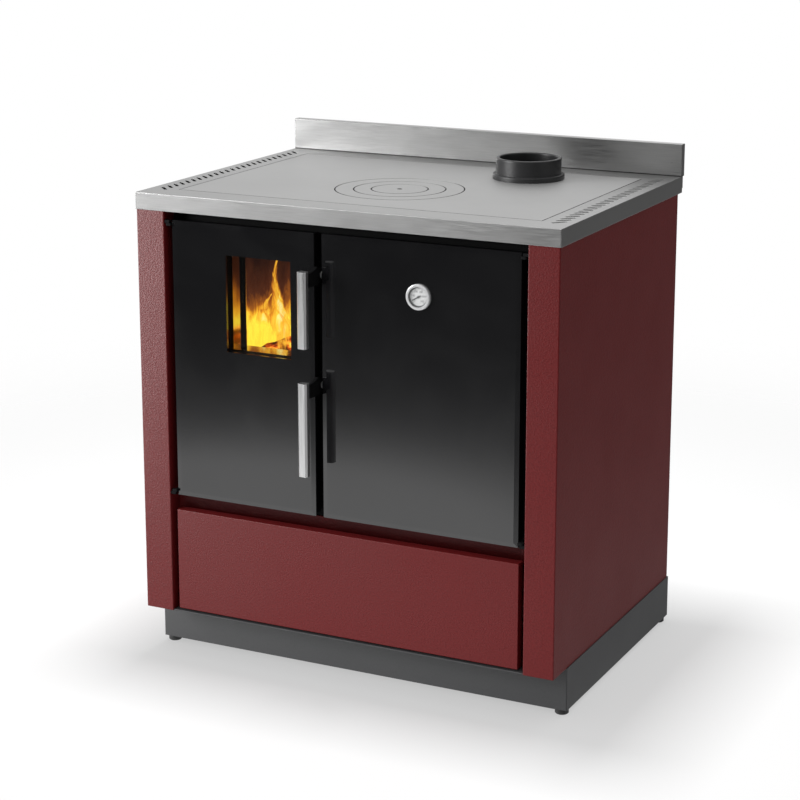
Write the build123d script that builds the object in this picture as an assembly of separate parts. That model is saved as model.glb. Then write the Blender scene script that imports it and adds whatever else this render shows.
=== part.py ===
from build123d import *
import os

# Wood-burning cookstove, in millimetres.
# X runs to the right, Y to the back, Z up. The origin is on the floor, in the
# middle of the stove's outline with its handles and upstand.

# Worktop
WIDTH = 800.0  # side to side
TOP_DEPTH = 584.0  # front edge to back edge
TOP_HEIGHT = 850.0  # floor to cooking surface
TOP_EDGE = 30.0  # height of the rim
TOP_SHEET = 2.0  # thickness of the folded stainless sheet
TOP_CORNER = 1.2  # radius of the folded edges
RIM_FLANGE = 14.0  # flange under the rim, resting on the panels
VENT_PITCH = 19.6
VENT_LENGTH = 28.0
VENT_WIDTH = 6.0
VENT_ANGLE = 45.0
VENT_FROM_EDGE = 26.0  # worktop side to the middle of the slots
SPLASH_HEIGHT = 59.0
SPLASH_T = 16.0
SPLASH_BEHIND = 8.0  # how far the upstand stands behind the worktop
SPLASH_SHEET = 1.5
SPLASH_FLANGE = 22.0  # flange screwed to the rim's back

# Cooking plate, rings and flue collar
PLATE_SIDE_MARGIN = 55.0  # worktop edge to plate opening
PLATE_FRONT_MARGIN = 54.0
PLATE_BACK_MARGIN = 59.0
PLATE_GAP = 1.0
PLATE_T = 8.0
PLATE_LEDGE = 12.0  # width of the ledge that carries the plate
RING_FORWARD = 60.0  # ring centre in front of the worktop's middle
SEAM_OUTER_R = 114.5
SEAM_MIDDLE_R = 81.5
SEAM_LID_R = 50.5
SEAM = 1.5  # width of the seam between rings
RING_LAP = 8.0  # how far a ring rests on the next one
RING_REBATE = 4.0
SEAT_GAP = 0.2
LID_SOCKET_R = 5.0
LID_SOCKET_DEPTH = 3.0
FLUE_FROM_RIGHT = 243.5
FLUE_FROM_BACK = 142.5
FLUE_PIPE_BORE = 120.0  # inside diameter of the pipe that slips over the spigot
SPIGOT_CLEARANCE = 0.75
COLLAR_WALL = 7.0
COLLAR_HEIGHT = 38.5
FLANGE_T = 9.5
FLANGE_WIDTH = 5.75
COLLAR_ROUND = 2.5

# Plinth and feet
FOOT_HEIGHT = 10.0
FOOT_R = 12.0
FOOT_INSET = 14.0
FOOT_CHAMFER = 1.5
STUD_R = 4.0
STUD_LENGTH = 28.0
STUD_CLEARANCE = 0.1
PLINTH_HEIGHT = 77.0
PLINTH_SETBACK = 59.5  # worktop front edge to plinth front
PLINTH_BACK_GAP = 15.0
GUSSET = 44.0
GUSSET_T = 4.0

# Cabinet panels
SHEET = 2.0
SIDE_INSET = 1.5  # side panel inside the worktop's side
PILLAR_SETBACK = 1.0
PILLAR_WIDTH = 55.5
JAMB_DEPTH = 60.0
SIDE_BACK_GAP = 19.0  # worktop back edge to the panels' back edge
REAR_FLANGE = 22.0
FOLD_ROUND = 1.8
SHELF_T = 3.0
SHELF_DROP = 4.0  # shelf below the drawer front's top edge
SHELF_CLEARANCE = 2.0
SHELF_LIP = 24.0  # upturned lip before the front frame
LEDGE_WIDTH = 25.0
LEDGE_T = 3.0
INSULATION_T = 30.0
INSULATION_MARGIN = 16.0
SCREW_HEAD_R = 5.0
SCREW_HEAD_T = 2.5
SCREW_SHANK_R = 2.0
SCREW_CLEARANCE = 0.2
SCREW_EDGE = 11.0
SCREW_ROWS = 4
SPLASH_SCREWS = 5

# Doors
DOOR_SETBACK = 5.0  # worktop front edge to door glass
DOOR_TOP_GAP = 15.0
DOOR_SIDE_GAP = 13.5
DOOR_MID_GAP = 15.0
FIRE_DOOR_WIDTH = 279.5
FINGER_RECESS = 28.0  # drawer front to doors
GLASS_T = 5.0
BEVEL_WIDTH = 8.0
BEVEL_DEPTH = 1.5
DOOR_FRAME_DEPTH = 19.0
DOOR_FRAME_INSET = 2.5
DOOR_SKIN = 3.0
DOOR_RIM = 18.0
INNER_PANEL_T = 2.0
GASKET_WIDTH = 10.0
GASKET_T = 4.0
GASKET_INSET = 4.0
GASKET_CLEARANCE = 1.0
WINDOW_FROM_LEFT = 107.5
WINDOW_FROM_RIGHT = 45.0
WINDOW_FROM_TOP = 53.0
WINDOW_OVER_GUARD = 56.0  # log guard's top to the window's sill
WINDOW_SURROUND = 12.0
PANE_T = 4.0
PANE_LAP = 10.0
CLAMP_T = 2.5
CLAMP_POST_R = 4.0
CLAMP_POST_INSET = 25.0
LINER_T = 2.0
LINER_DEPTH = 36.0
LINER_LIP = 6.0
HINGE_SETBACK = 1.0  # door glass to hinge axis
HINGE_PIN_R = 3.0
HINGE_CLEARANCE = 0.06
HINGE_EYE_R = 4.5
HINGE_BRACKET_HALF = 3.2
HINGE_BRACKET_T = 5.0
HINGE_TAB_T = 4.0
HINGE_TAB_REACH = 12.0
HINGE_GAP = 0.5
GLASS_CLEARANCE = 0.7

# Lever handles on the fire door
HANDLE_STANDOFF = 40.0  # door glass to the back of the bar
BAR_WIDTH = 17.0
BAR_DEPTH = 14.0
BAR_CHAMFER = 3.0
UPPER_BAR_DROP = 57.0  # door top to bar top
UPPER_BAR_LENGTH = 131.5
LOWER_BAR_DROP = 249.0
LOWER_BAR_LENGTH = 163.0
ARM_T = 6.0
ARM_GAP = 1.5  # door edge to arm
ARM_HEIGHT = 32.0
ARM_NOSE_R = 12.0
ARM_FRONT_DROP = 5.0
ARM_FRONT_HEIGHT = 24.0
ARM_DIP = 3.0
PIVOT_SETBACK = 14.5  # door glass to pivot
PIVOT_R = 4.0
PIVOT_BOSS_R = 8.0
PIVOT_HEAD_R = 6.5
PIVOT_HEAD_T = 2.0
PIVOT_PLAY = 0.4
PIVOT_CLEARANCE = 0.06
KEEPER_T = 3.0
KEEPER_GAP = 2.0
KEEPER_FINGER = 4.0
KEEPER_HEIGHT = 20.0

# Thermometer in the right door
GAUGE_FROM_TOP = 90.0
BEZEL_R = 22.0
BEZEL_LIP_R = 17.0
BEZEL_LIP_T = 0.9
BEZEL_ROUND = 1.8
GAUGE_R = 18.3
GAUGE_CLEARANCE = 0.2
DIAL_T = 1.0
DIAL_DEPTH = 1.4  # dial face in front of the door glass
LENS_T = 1.4
NEEDLE_T = 0.8
NEEDLE_LENGTH = 13.5
NEEDLE_TAIL = 5.0
NEEDLE_WIDTH = 1.6
NEEDLE_HUB_R = 2.2
NEEDLE_PIN_R = 0.8
NEEDLE_PIN_CLEARANCE = 0.06
NEEDLE_GAP = 0.6  # needle to dial and to lens
NEEDLE_ANGLE = 240.0  # clockwise from straight up
CASE_DEPTH = 18.0
CASE_WALL = 1.0
STEM_R = 3.0
STEM_REACH = 45.0  # stem beyond the front frame
STEM_CLEARANCE = 0.5

# Front frame, firebox and smoke path
FRAME_T = 4.0
MOUTH_MARGIN = 32.0  # door edge to mouth edge
SMOKE_DROP = 52.0  # worktop underside to smoke box floor
SMOKE_PLATE = 3.0
SMOKE_INSET = 4.0
BAFFLE_FROM_FLUE = 100.0
BAFFLE_LENGTH = 180.0
BAFFLE_GAP = 2.0
FIRE_MOUTH_GAP = 8.0  # smoke box floor to mouth top
FIREBOX_PLATE = 4.0
FIREBOX_SIDE = 12.0
FIREBOX_BACK_GAP = 85.0
GRATE_RISE = 110.0  # mouth sill to grate
GRATE_T = 16.0
GRATE_LEDGE = 14.0
GRATE_LEDGE_T = 6.0
GRATE_GAP = 1.0
GRATE_BORDER = 34.0
GRATE_SLOT = 9.0
GRATE_BAR = 13.0
BRICK_T = 28.0
BRICK_JOINT = 1.0
BRICK_TOP_GAP = 28.0
BRICK_FRONT_GAP = 30.0
GUARD_T = 8.0
GUARD_HEIGHT = 60.0
GUARD_GAP = 4.0
GUARD_SLOT = 10.0
GUARD_PITCH = 24.0
ASH_PAN_HEIGHT = 60.0
ASH_PAN_SIDE_GAP = 8.0
ASH_PAN_FRONT_GAP = 10.0
ASH_PAN_BACK_GAP = 30.0
ASH_PAN_LIP = 7.0
PAN_SHEET = 1.5
AIR_DUCT_R = 38.0
AIR_DUCT_WALL = 1.5
AIR_DUCT_CLEARANCE = 0.3
AIR_DUCT_PROUD = 3.0
FLAP_MARGIN = 8.0
FLAP_T = 2.0
FLAP_GAP = 1.5
FLAP_ROD_R = 2.5
FLAP_KNUCKLE_R = 4.5
FLAP_CLEARANCE = 0.06
FLAP_LUG_T = 4.0
FLAP_LUG_GAP = 0.5

# Oven
OVEN_SHEET = 2.0
OVEN_TOP_GAP = 25.0  # smoke box floor to oven mouth top
OVEN_BACK_GAP = 105.0
RACK_LEVELS = 3
RACK_RIB = 8.0
RACK_RIB_T = 6.0
RACK_ROD_R = 3.0
RACK_WIRE_R = 2.0
RACK_WIRES = 11
RACK_GAP = 2.0
OVEN_SUPPORT_T = 3.0
OVEN_SUPPORT_FLANGE = 40.0
MAGNET_WIDTH = 9.0
MAGNET_HEIGHT = 40.0
MAGNET_GAP = 0.5

# Wood drawer
DRAWER_BOTTOM_GAP = 5.5
DRAWER_FRONT_HEIGHT = 186.5
DRAWER_SIDE_GAP = 11.5
DRAWER_FRONT_DEPTH = 20.0
DRAWER_SHEET = 1.5
DRAWER_ROUND = 1.2
DRAWER_LIP = 42.0
DRAWER_BOX_SIDE = 43.0  # pillar to drawer box
DRAWER_BOX_FLOOR = 7.5
DRAWER_BOX_HEIGHT = 152.0
DRAWER_BACK_GAP = 58.0
RAIL = 12.0
RAIL_DEPTH = 10.0
RAIL_RISE = 64.0
RAIL_END_GAP = 8.0
RUNNER_CLEARANCE = 0.5
RUNNER_T = 2.0
RUNNER_FLANGE = 8.0
BRACKET_LENGTH = 40.0
BRACKET_HEIGHT = 40.0
BRACKET_T = 3.0

# Levels, from the floor up
PLINTH_Z0 = FOOT_HEIGHT
PLINTH_Z1 = PLINTH_Z0 + PLINTH_HEIGHT
TOP_Z1 = TOP_HEIGHT
TOP_Z0 = TOP_Z1 - TOP_EDGE
PLATE_Z0 = TOP_Z1 - PLATE_T
DRAWER_Z0 = PLINTH_Z1 + DRAWER_BOTTOM_GAP
DRAWER_Z1 = DRAWER_Z0 + DRAWER_FRONT_HEIGHT
DOOR_Z0 = DRAWER_Z1 + FINGER_RECESS
DOOR_Z1 = TOP_Z0 - DOOR_TOP_GAP
SHELF_Z1 = DRAWER_Z1 - SHELF_DROP
SHELF_Z0 = SHELF_Z1 - SHELF_T
SMOKE_Z0 = TOP_Z0 - SMOKE_DROP
SMOKE_Z1 = SMOKE_Z0 + SMOKE_PLATE

# Lines from side to side
HALF = WIDTH / 2
SIDE_X = HALF - SIDE_INSET
SIDE_IN = SIDE_X - SHEET
BAY_X = SIDE_X - PILLAR_WIDTH
FIRE_X0 = -BAY_X + DOOR_SIDE_GAP
FIRE_X1 = FIRE_X0 + FIRE_DOOR_WIDTH
OVEN_X0 = FIRE_X1 + DOOR_MID_GAP
OVEN_X1 = BAY_X - DOOR_SIDE_GAP

# Lines from front to back
FRONT_REACH = HANDLE_STANDOFF + BAR_DEPTH - DOOR_SETBACK
TOP_Y0 = (FRONT_REACH - TOP_DEPTH - SPLASH_BEHIND) / 2
TOP_Y1 = TOP_Y0 + TOP_DEPTH
PILLAR_Y0 = TOP_Y0 + PILLAR_SETBACK
JAMB_Y1 = PILLAR_Y0 + JAMB_DEPTH
BACK_Y1 = TOP_Y1 - SIDE_BACK_GAP
BACK_Y0 = BACK_Y1 - SHEET
INNER_Y1 = BACK_Y0 - SHEET
DOOR_Y0 = TOP_Y0 + DOOR_SETBACK
DOOR_FRAME_Y0 = DOOR_Y0 + GLASS_T
DOOR_Y1 = DOOR_FRAME_Y0 + DOOR_FRAME_DEPTH
FRAME_Y0 = DOOR_Y1 + GASKET_T + GASKET_CLEARANCE
FRAME_Y1 = FRAME_Y0 + FRAME_T
DRAWER_Y1 = DOOR_Y0 + DRAWER_FRONT_DEPTH
PLINTH_Y0 = TOP_Y0 + PLINTH_SETBACK
PLINTH_Y1 = TOP_Y1 - PLINTH_BACK_GAP


def block(x0, x1, y0, y1, z0, z1):
    """A rectangular block between two corners."""
    size = Box(x1 - x0, y1 - y0, z1 - z0)
    return Pos((x0 + x1) / 2, (y0 + y1) / 2, (z0 + z1) / 2) * size


def rod_x(y, z, x0, x1, r):
    """A round bar along X."""
    return Pos((x0 + x1) / 2, y, z) * Rot(0, 90, 0) * Cylinder(r, x1 - x0)


def rod_y(x, z, y0, y1, r):
    """A round bar along Y."""
    return Pos(x, (y0 + y1) / 2, z) * Rot(90, 0, 0) * Cylinder(r, y1 - y0)


def rod_z(x, y, z0, z1, r):
    """A round bar along Z."""
    return Pos(x, y, (z0 + z1) / 2) * Cylinder(r, z1 - z0)


def plan_ring(x0, x1, y0, y1, z0, z1, border):
    """A rectangular ring lying flat."""
    inner = block(x0 + border, x1 - border, y0 + border, y1 - border, z0, z1)
    return block(x0, x1, y0, y1, z0, z1) - inner


def face_ring(x0, x1, y0, y1, z0, z1, border):
    """A rectangular ring standing upright, facing the front."""
    inner = block(x0 + border, x1 - border, y0, y1, z0 + border, z1 - border)
    return block(x0, x1, y0, y1, z0, z1) - inner


def mirrored(shape):
    """The same piece on the other side of the stove."""
    return mirror(shape, about=Plane.YZ)


def edges_at(shape, axis, x=None, y=None, z=None):
    """The straight edges along an axis that pass through the given lines."""
    found = []
    for edge in shape.edges().filter_by(axis):
        middle = edge.center()
        pairs = ((middle.X, x), (middle.Y, y), (middle.Z, z))
        if all(want is None or abs(got - want) < 0.01 for got, want in pairs):
            found.append(edge)
    return found


def save(name, *shapes):
    """Write one piece, or a group of like pieces, to its file."""
    solids = [solid for shape in shapes for solid in shape.solids()]
    whole = solids[0] if len(solids) == 1 else Compound(children=solids)
    export_step(whole, os.path.join("parts", name + ".step"))


os.makedirs("parts", exist_ok=True)

# Plinth: a welded frame with a drilled gusset in each corner for a levelling foot
foot_spots = [
    (sx * (HALF - FOOT_INSET), y)
    for sx in (-1, 1)
    for y in (PLINTH_Y0 + FOOT_INSET, PLINTH_Y1 - FOOT_INSET)
]
plinth = plan_ring(-HALF, HALF, PLINTH_Y0, PLINTH_Y1, PLINTH_Z0, PLINTH_Z1, SHEET)
for side in (-1, 1):
    for y, inward in ((PLINTH_Y0 + SHEET, 1), (PLINTH_Y1 - SHEET, -1)):
        x = side * (HALF - SHEET)
        corner = block(
            min(x, x - side * GUSSET),
            max(x, x - side * GUSSET),
            min(y, y + inward * GUSSET),
            max(y, y + inward * GUSSET),
            PLINTH_Z0,
            PLINTH_Z0 + GUSSET_T,
        )
        plinth += corner
for x, y in foot_spots:
    plinth -= rod_z(x, y, PLINTH_Z0, PLINTH_Z0 + GUSSET_T, STUD_R + STUD_CLEARANCE)
for x in (-HALF, HALF):
    plinth = fillet(edges_at(plinth, Axis.Z, x=x, y=PLINTH_Y0), FOLD_ROUND)
save("plinth", plinth)

feet = []
for x, y in foot_spots:
    pad = rod_z(x, y, 0, FOOT_HEIGHT, FOOT_R)
    pad = chamfer(pad.edges().filter_by(GeomType.CIRCLE), FOOT_CHAMFER)
    feet.append(pad + rod_z(x, y, FOOT_HEIGHT, FOOT_HEIGHT + STUD_LENGTH, STUD_R))
save("levelling_feet", *feet)

# Base pan on the plinth, narrower between the two pillars
base_pan = block(-SIDE_IN, SIDE_IN, JAMB_Y1, INNER_Y1, PLINTH_Z1, PLINTH_Z1 + SHEET)
base_pan += block(-BAY_X, BAY_X, PILLAR_Y0 + SHEET, JAMB_Y1, PLINTH_Z1, PLINTH_Z1 + SHEET)
save("base_pan", base_pan)

# Side panels: one sheet folded into side, front pillar, jamb and rear flange
screw_rows = [
    PLINTH_Z1 + 2 * SCREW_EDGE + row * (TOP_Z0 - PLINTH_Z1 - 4 * SCREW_EDGE) / (SCREW_ROWS - 1)
    for row in range(SCREW_ROWS)
]
panel_screws = [(sx * (SIDE_IN - SCREW_EDGE), z) for sx in (-1, 1) for z in screw_rows]
screw_hole_r = SCREW_SHANK_R + SCREW_CLEARANCE


def side_panel():
    """The left panel, as folded."""
    panel = block(-SIDE_X, -SIDE_IN, PILLAR_Y0, BACK_Y1, PLINTH_Z1, TOP_Z0)
    panel += block(-SIDE_X, -BAY_X, PILLAR_Y0, PILLAR_Y0 + SHEET, PLINTH_Z1, TOP_Z0)
    panel += block(-BAY_X - SHEET, -BAY_X, PILLAR_Y0, JAMB_Y1, PLINTH_Z1, TOP_Z0)
    panel += block(-SIDE_X, -BAY_X, PILLAR_Y0, JAMB_Y1, PLINTH_Z1, PLINTH_Z1 + SHEET)
    panel += block(-SIDE_X, -SIDE_IN + REAR_FLANGE, INNER_Y1, BACK_Y0, PLINTH_Z1, TOP_Z0)
    for x, z in panel_screws:
        if x < 0:
            panel -= rod_y(x, z, INNER_Y1, BACK_Y0, screw_hole_r)
    corners = edges_at(panel, Axis.Z, x=-SIDE_X, y=PILLAR_Y0)
    corners += edges_at(panel, Axis.Z, x=-BAY_X, y=PILLAR_Y0)
    return fillet(corners, FOLD_ROUND)


left_panel = side_panel()
save("side_panel_left", left_panel)
save("side_panel_right", mirrored(left_panel))

# Divider shelf over the drawer, on two angle ledges, with a lip that faces the finger recess
shelf_y0 = DRAWER_Y1 + SHELF_CLEARANCE
lip_y0 = FRAME_Y0 - SHELF_T
shelf = block(-SIDE_IN, SIDE_IN, JAMB_Y1, INNER_Y1, SHELF_Z0, SHELF_Z1)
shelf += block(-BAY_X, BAY_X, shelf_y0, JAMB_Y1, SHELF_Z0, SHELF_Z1)
shelf += block(-BAY_X, BAY_X, lip_y0, FRAME_Y0, SHELF_Z1, SHELF_Z1 + SHELF_LIP)
save("divider_shelf", shelf)

ledge = block(
    -SIDE_IN, -SIDE_IN + LEDGE_T, JAMB_Y1, INNER_Y1, SHELF_Z0 - LEDGE_WIDTH, SHELF_Z0
)
ledge += block(
    -SIDE_IN, -SIDE_IN + LEDGE_WIDTH, JAMB_Y1, INNER_Y1, SHELF_Z0 - LEDGE_T, SHELF_Z0
)
save("shelf_ledges", ledge, mirrored(ledge))

# Worktop: folded stainless frame with a ledge for the cooking plate and two rows of vents
open_x = HALF - PLATE_SIDE_MARGIN
open_y0 = TOP_Y0 + PLATE_FRONT_MARGIN
open_y1 = TOP_Y1 - PLATE_BACK_MARGIN
sheet_z0 = TOP_Z1 - TOP_SHEET
ledge_z0 = PLATE_Z0 - TOP_SHEET
worktop = block(-HALF, HALF, TOP_Y0, TOP_Y1, TOP_Z0, TOP_Z1)
worktop = fillet(
    [
        edge
        for edge in worktop.edges()
        if edge.center().Z > TOP_Z0 + TOP_SHEET
    ],
    TOP_CORNER,
)
worktop -= block(
    -HALF + TOP_SHEET,
    HALF - TOP_SHEET,
    TOP_Y0 + TOP_SHEET,
    TOP_Y1 - TOP_SHEET,
    TOP_Z0 + TOP_SHEET,
    sheet_z0,
)
worktop -= block(
    -HALF + RIM_FLANGE,
    HALF - RIM_FLANGE,
    TOP_Y0 + RIM_FLANGE,
    TOP_Y1 - RIM_FLANGE,
    TOP_Z0,
    TOP_Z0 + TOP_SHEET,
)
worktop -= block(-open_x, open_x, open_y0, open_y1, sheet_z0, TOP_Z1)
worktop += plan_ring(
    -open_x - TOP_SHEET,
    open_x + TOP_SHEET,
    open_y0 - TOP_SHEET,
    open_y1 + TOP_SHEET,
    ledge_z0,
    sheet_z0,
    TOP_SHEET,
)
worktop += plan_ring(-open_x, open_x, open_y0, open_y1, ledge_z0, PLATE_Z0, PLATE_LEDGE)
vent_count = int((open_y1 - open_y0) / VENT_PITCH) + 1
vent_y0 = (open_y0 + open_y1) / 2 - (vent_count - 1) * VENT_PITCH / 2
vents = []
for side in (-1, 1):
    for step in range(vent_count):
        place = Pos(side * (HALF - VENT_FROM_EDGE), vent_y0 + step * VENT_PITCH, sheet_z0)
        slot = Rot(0, 0, side * VENT_ANGLE) * SlotOverall(VENT_LENGTH, VENT_WIDTH)
        vents.append(extrude(place * slot, TOP_SHEET))
worktop -= vents
splash_screws = [
    (-HALF + (place + 0.5) * WIDTH / SPLASH_SCREWS, TOP_Z1 - SPLASH_FLANGE / 2)
    for place in range(SPLASH_SCREWS)
]
for x, z in splash_screws:
    worktop -= rod_y(x, z, TOP_Y1 - TOP_SHEET, TOP_Y1, screw_hole_r)
save("worktop", worktop)

# Upstand: folded channel with a flange screwed to the back of the rim
splash_y1 = TOP_Y1 + SPLASH_BEHIND
splash_z1 = TOP_Z1 + SPLASH_HEIGHT
splash = block(-HALF, HALF, splash_y1 - SPLASH_T, splash_y1, TOP_Z1, splash_z1)
splash = fillet([edge for edge in splash.edges() if edge.center().Z > splash_z1 - TOP_CORNER], TOP_CORNER)
splash -= block(
    -HALF + SPLASH_SHEET,
    HALF - SPLASH_SHEET,
    splash_y1 - SPLASH_T + SPLASH_SHEET,
    splash_y1 - SPLASH_SHEET,
    TOP_Z1 + SPLASH_SHEET,
    splash_z1 - SPLASH_SHEET,
)
splash += block(
    -HALF, HALF, TOP_Y1, TOP_Y1 + SPLASH_SHEET, TOP_Z1 - SPLASH_FLANGE, TOP_Z1 + SPLASH_SHEET
)
for x, z in splash_screws:
    splash -= rod_y(x, z, TOP_Y1, TOP_Y1 + SPLASH_SHEET, screw_hole_r)
save("backsplash", splash)

# Cooking plate with its ring seat and flue hole
flue_x = HALF - FLUE_FROM_RIGHT
flue_y = TOP_Y1 - FLUE_FROM_BACK
spigot_r = FLUE_PIPE_BORE / 2 - SPIGOT_CLEARANCE
flue_bore_r = spigot_r - COLLAR_WALL
ring_x = 0.0
ring_y = (TOP_Y0 + TOP_Y1) / 2 - RING_FORWARD
seat_z = TOP_Z1 - RING_REBATE


def ring_seat(seam_r):
    """The stepped hole that takes a ring whose seam has this radius."""
    seat = rod_z(ring_x, ring_y, seat_z, TOP_Z1, seam_r + SEAM / 2)
    return seat + rod_z(ring_x, ring_y, PLATE_Z0, seat_z, seam_r - RING_LAP)


def ring_blank(seam_r):
    """The stepped disc that sits in such a hole."""
    disc = rod_z(ring_x, ring_y, seat_z + SEAT_GAP, TOP_Z1, seam_r - SEAM / 2)
    return disc + rod_z(ring_x, ring_y, PLATE_Z0, seat_z + SEAT_GAP, seam_r - RING_LAP - SEAM)


plate = block(
    -open_x + PLATE_GAP,
    open_x - PLATE_GAP,
    open_y0 + PLATE_GAP,
    open_y1 - PLATE_GAP,
    PLATE_Z0,
    TOP_Z1,
)
plate -= ring_seat(SEAM_OUTER_R)
plate -= rod_z(flue_x, flue_y, PLATE_Z0, TOP_Z1, flue_bore_r)
save("cooking_plate", plate)
save("ring_outer", ring_blank(SEAM_OUTER_R) - ring_seat(SEAM_MIDDLE_R))
save("ring_middle", ring_blank(SEAM_MIDDLE_R) - ring_seat(SEAM_LID_R))
lid_socket = rod_z(ring_x, ring_y, TOP_Z1 - LID_SOCKET_DEPTH, TOP_Z1, LID_SOCKET_R)
save("ring_lid", ring_blank(SEAM_LID_R) - lid_socket)

# Flue collar: cast flange and spigot with a rounded rim
collar = rod_z(flue_x, flue_y, TOP_Z1, TOP_Z1 + FLANGE_T, spigot_r + FLANGE_WIDTH)
collar += rod_z(flue_x, flue_y, TOP_Z1 + FLANGE_T, TOP_Z1 + COLLAR_HEIGHT, spigot_r)
collar -= rod_z(flue_x, flue_y, TOP_Z1, TOP_Z1 + COLLAR_HEIGHT, flue_bore_r)
rim_edges = [
    edge
    for edge in collar.edges().filter_by(GeomType.CIRCLE)
    if edge.center().Z > TOP_Z1 + COLLAR_HEIGHT - COLLAR_ROUND or edge.radius > spigot_r + COLLAR_ROUND
    if edge.center().Z > TOP_Z1 + COLLAR_ROUND
]
save("flue_collar", fillet(rim_edges, COLLAR_ROUND))

# Front frame: the plate behind the doors, with the firebox and oven mouths
fire_mouth_x0 = FIRE_X0 + MOUTH_MARGIN
fire_mouth_x1 = FIRE_X1 - MOUTH_MARGIN
mouth_z0 = DOOR_Z0 + MOUTH_MARGIN
fire_mouth_z1 = SMOKE_Z0 - FIRE_MOUTH_GAP
oven_mouth_x0 = OVEN_X0 + MOUTH_MARGIN
oven_mouth_x1 = OVEN_X1 - MOUTH_MARGIN
oven_mouth_z1 = SMOKE_Z0 - OVEN_TOP_GAP
front_frame = block(-BAY_X, BAY_X, FRAME_Y0, FRAME_Y1, SHELF_Z1, TOP_Z0)
front_frame -= block(fire_mouth_x0, fire_mouth_x1, FRAME_Y0, FRAME_Y1, mouth_z0, fire_mouth_z1)
front_frame -= block(oven_mouth_x0, oven_mouth_x1, FRAME_Y0, FRAME_Y1, mouth_z0, oven_mouth_z1)
save("front_frame", front_frame)

# Firebox: welded shell open at the front and top, with ledges for the grate
box_x0 = fire_mouth_x0 - FIREBOX_SIDE
box_x1 = fire_mouth_x1 + FIREBOX_SIDE
box_y1 = BACK_Y0 - FIREBOX_BACK_GAP
box_x = (box_x0 + box_x1) / 2
grate_z0 = mouth_z0 + GRATE_RISE
grate_z1 = grate_z0 + GRATE_T
air_z = (mouth_z0 + grate_z0) / 2
firebox = block(
    box_x0 - FIREBOX_PLATE,
    box_x1 + FIREBOX_PLATE,
    FRAME_Y1,
    box_y1 + FIREBOX_PLATE,
    SHELF_Z1,
    SMOKE_Z0,
)
firebox -= block(box_x0, box_x1, FRAME_Y1, box_y1, mouth_z0, SMOKE_Z0)
firebox -= block(box_x0, box_x1, FRAME_Y1, box_y1, SHELF_Z1, mouth_z0 - FIREBOX_PLATE)
for x0 in (box_x0, box_x1 - GRATE_LEDGE):
    firebox += block(x0, x0 + GRATE_LEDGE, FRAME_Y1, box_y1, grate_z0 - GRATE_LEDGE_T, grate_z0)
firebox -= rod_y(box_x, air_z, box_y1, box_y1 + FIREBOX_PLATE, AIR_DUCT_R - AIR_DUCT_WALL)
save("firebox_shell", firebox)

# Cast grate with long slots, and the guard that keeps logs behind the door
grate_x0 = box_x0 + GRATE_GAP
grate_x1 = box_x1 - GRATE_GAP
grate_y0 = FRAME_Y1 + GRATE_GAP
grate_y1 = box_y1 - GRATE_GAP
grate = block(grate_x0, grate_x1, grate_y0, grate_y1, grate_z0, grate_z1)
slot_pitch = GRATE_SLOT + GRATE_BAR
slot_count = int((grate_x1 - grate_x0 - 2 * GRATE_BORDER) / slot_pitch)
slot_x0 = (grate_x0 + grate_x1 - slot_count * slot_pitch + GRATE_BAR) / 2
slot_ends = (
    (grate_y0 + GRATE_BORDER, (grate_y0 + grate_y1 - GRATE_BAR) / 2),
    ((grate_y0 + grate_y1 + GRATE_BAR) / 2, grate_y1 - GRATE_BORDER),
)
for slot in range(slot_count):
    x = slot_x0 + slot * slot_pitch
    for y0, y1 in slot_ends:
        grate -= block(x, x + GRATE_SLOT, y0, y1, grate_z0, grate_z1)
save("fire_grate", grate)

guard_y0 = FRAME_Y1 + GUARD_GAP
guard = block(
    grate_x0, grate_x1, guard_y0, guard_y0 + GUARD_T, grate_z1, grate_z1 + GUARD_HEIGHT
)
guard_count = int((grate_x1 - grate_x0 - 2 * GUARD_PITCH) / GUARD_PITCH)
guard_x0 = (grate_x0 + grate_x1 - guard_count * GUARD_PITCH + GUARD_PITCH - GUARD_SLOT) / 2
for slot in range(guard_count):
    x = guard_x0 + slot * GUARD_PITCH
    guard -= block(
        x,
        x + GUARD_SLOT,
        guard_y0,
        guard_y0 + GUARD_T,
        grate_z1 + GUARD_SLOT,
        grate_z1 + GUARD_HEIGHT - GUARD_SLOT,
    )
save("log_guard", guard)

# Firebricks on the grate's border, two to each side and one at the back
brick_z1 = SMOKE_Z0 - BRICK_TOP_GAP
brick_y0 = FRAME_Y1 + BRICK_FRONT_GAP
brick_y1 = box_y1 - BRICK_T - BRICK_JOINT
brick_mid = (brick_y0 + brick_y1) / 2
bricks = []
for x0 in (grate_x0, grate_x1 - BRICK_T):
    bricks.append(block(x0, x0 + BRICK_T, brick_y0, brick_mid - BRICK_JOINT / 2, grate_z1, brick_z1))
    bricks.append(block(x0, x0 + BRICK_T, brick_mid + BRICK_JOINT / 2, brick_y1, grate_z1, brick_z1))
bricks.append(block(grate_x0, grate_x1, box_y1 - BRICK_T, grate_y1, grate_z1, brick_z1))
save("firebricks", *bricks)

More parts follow.
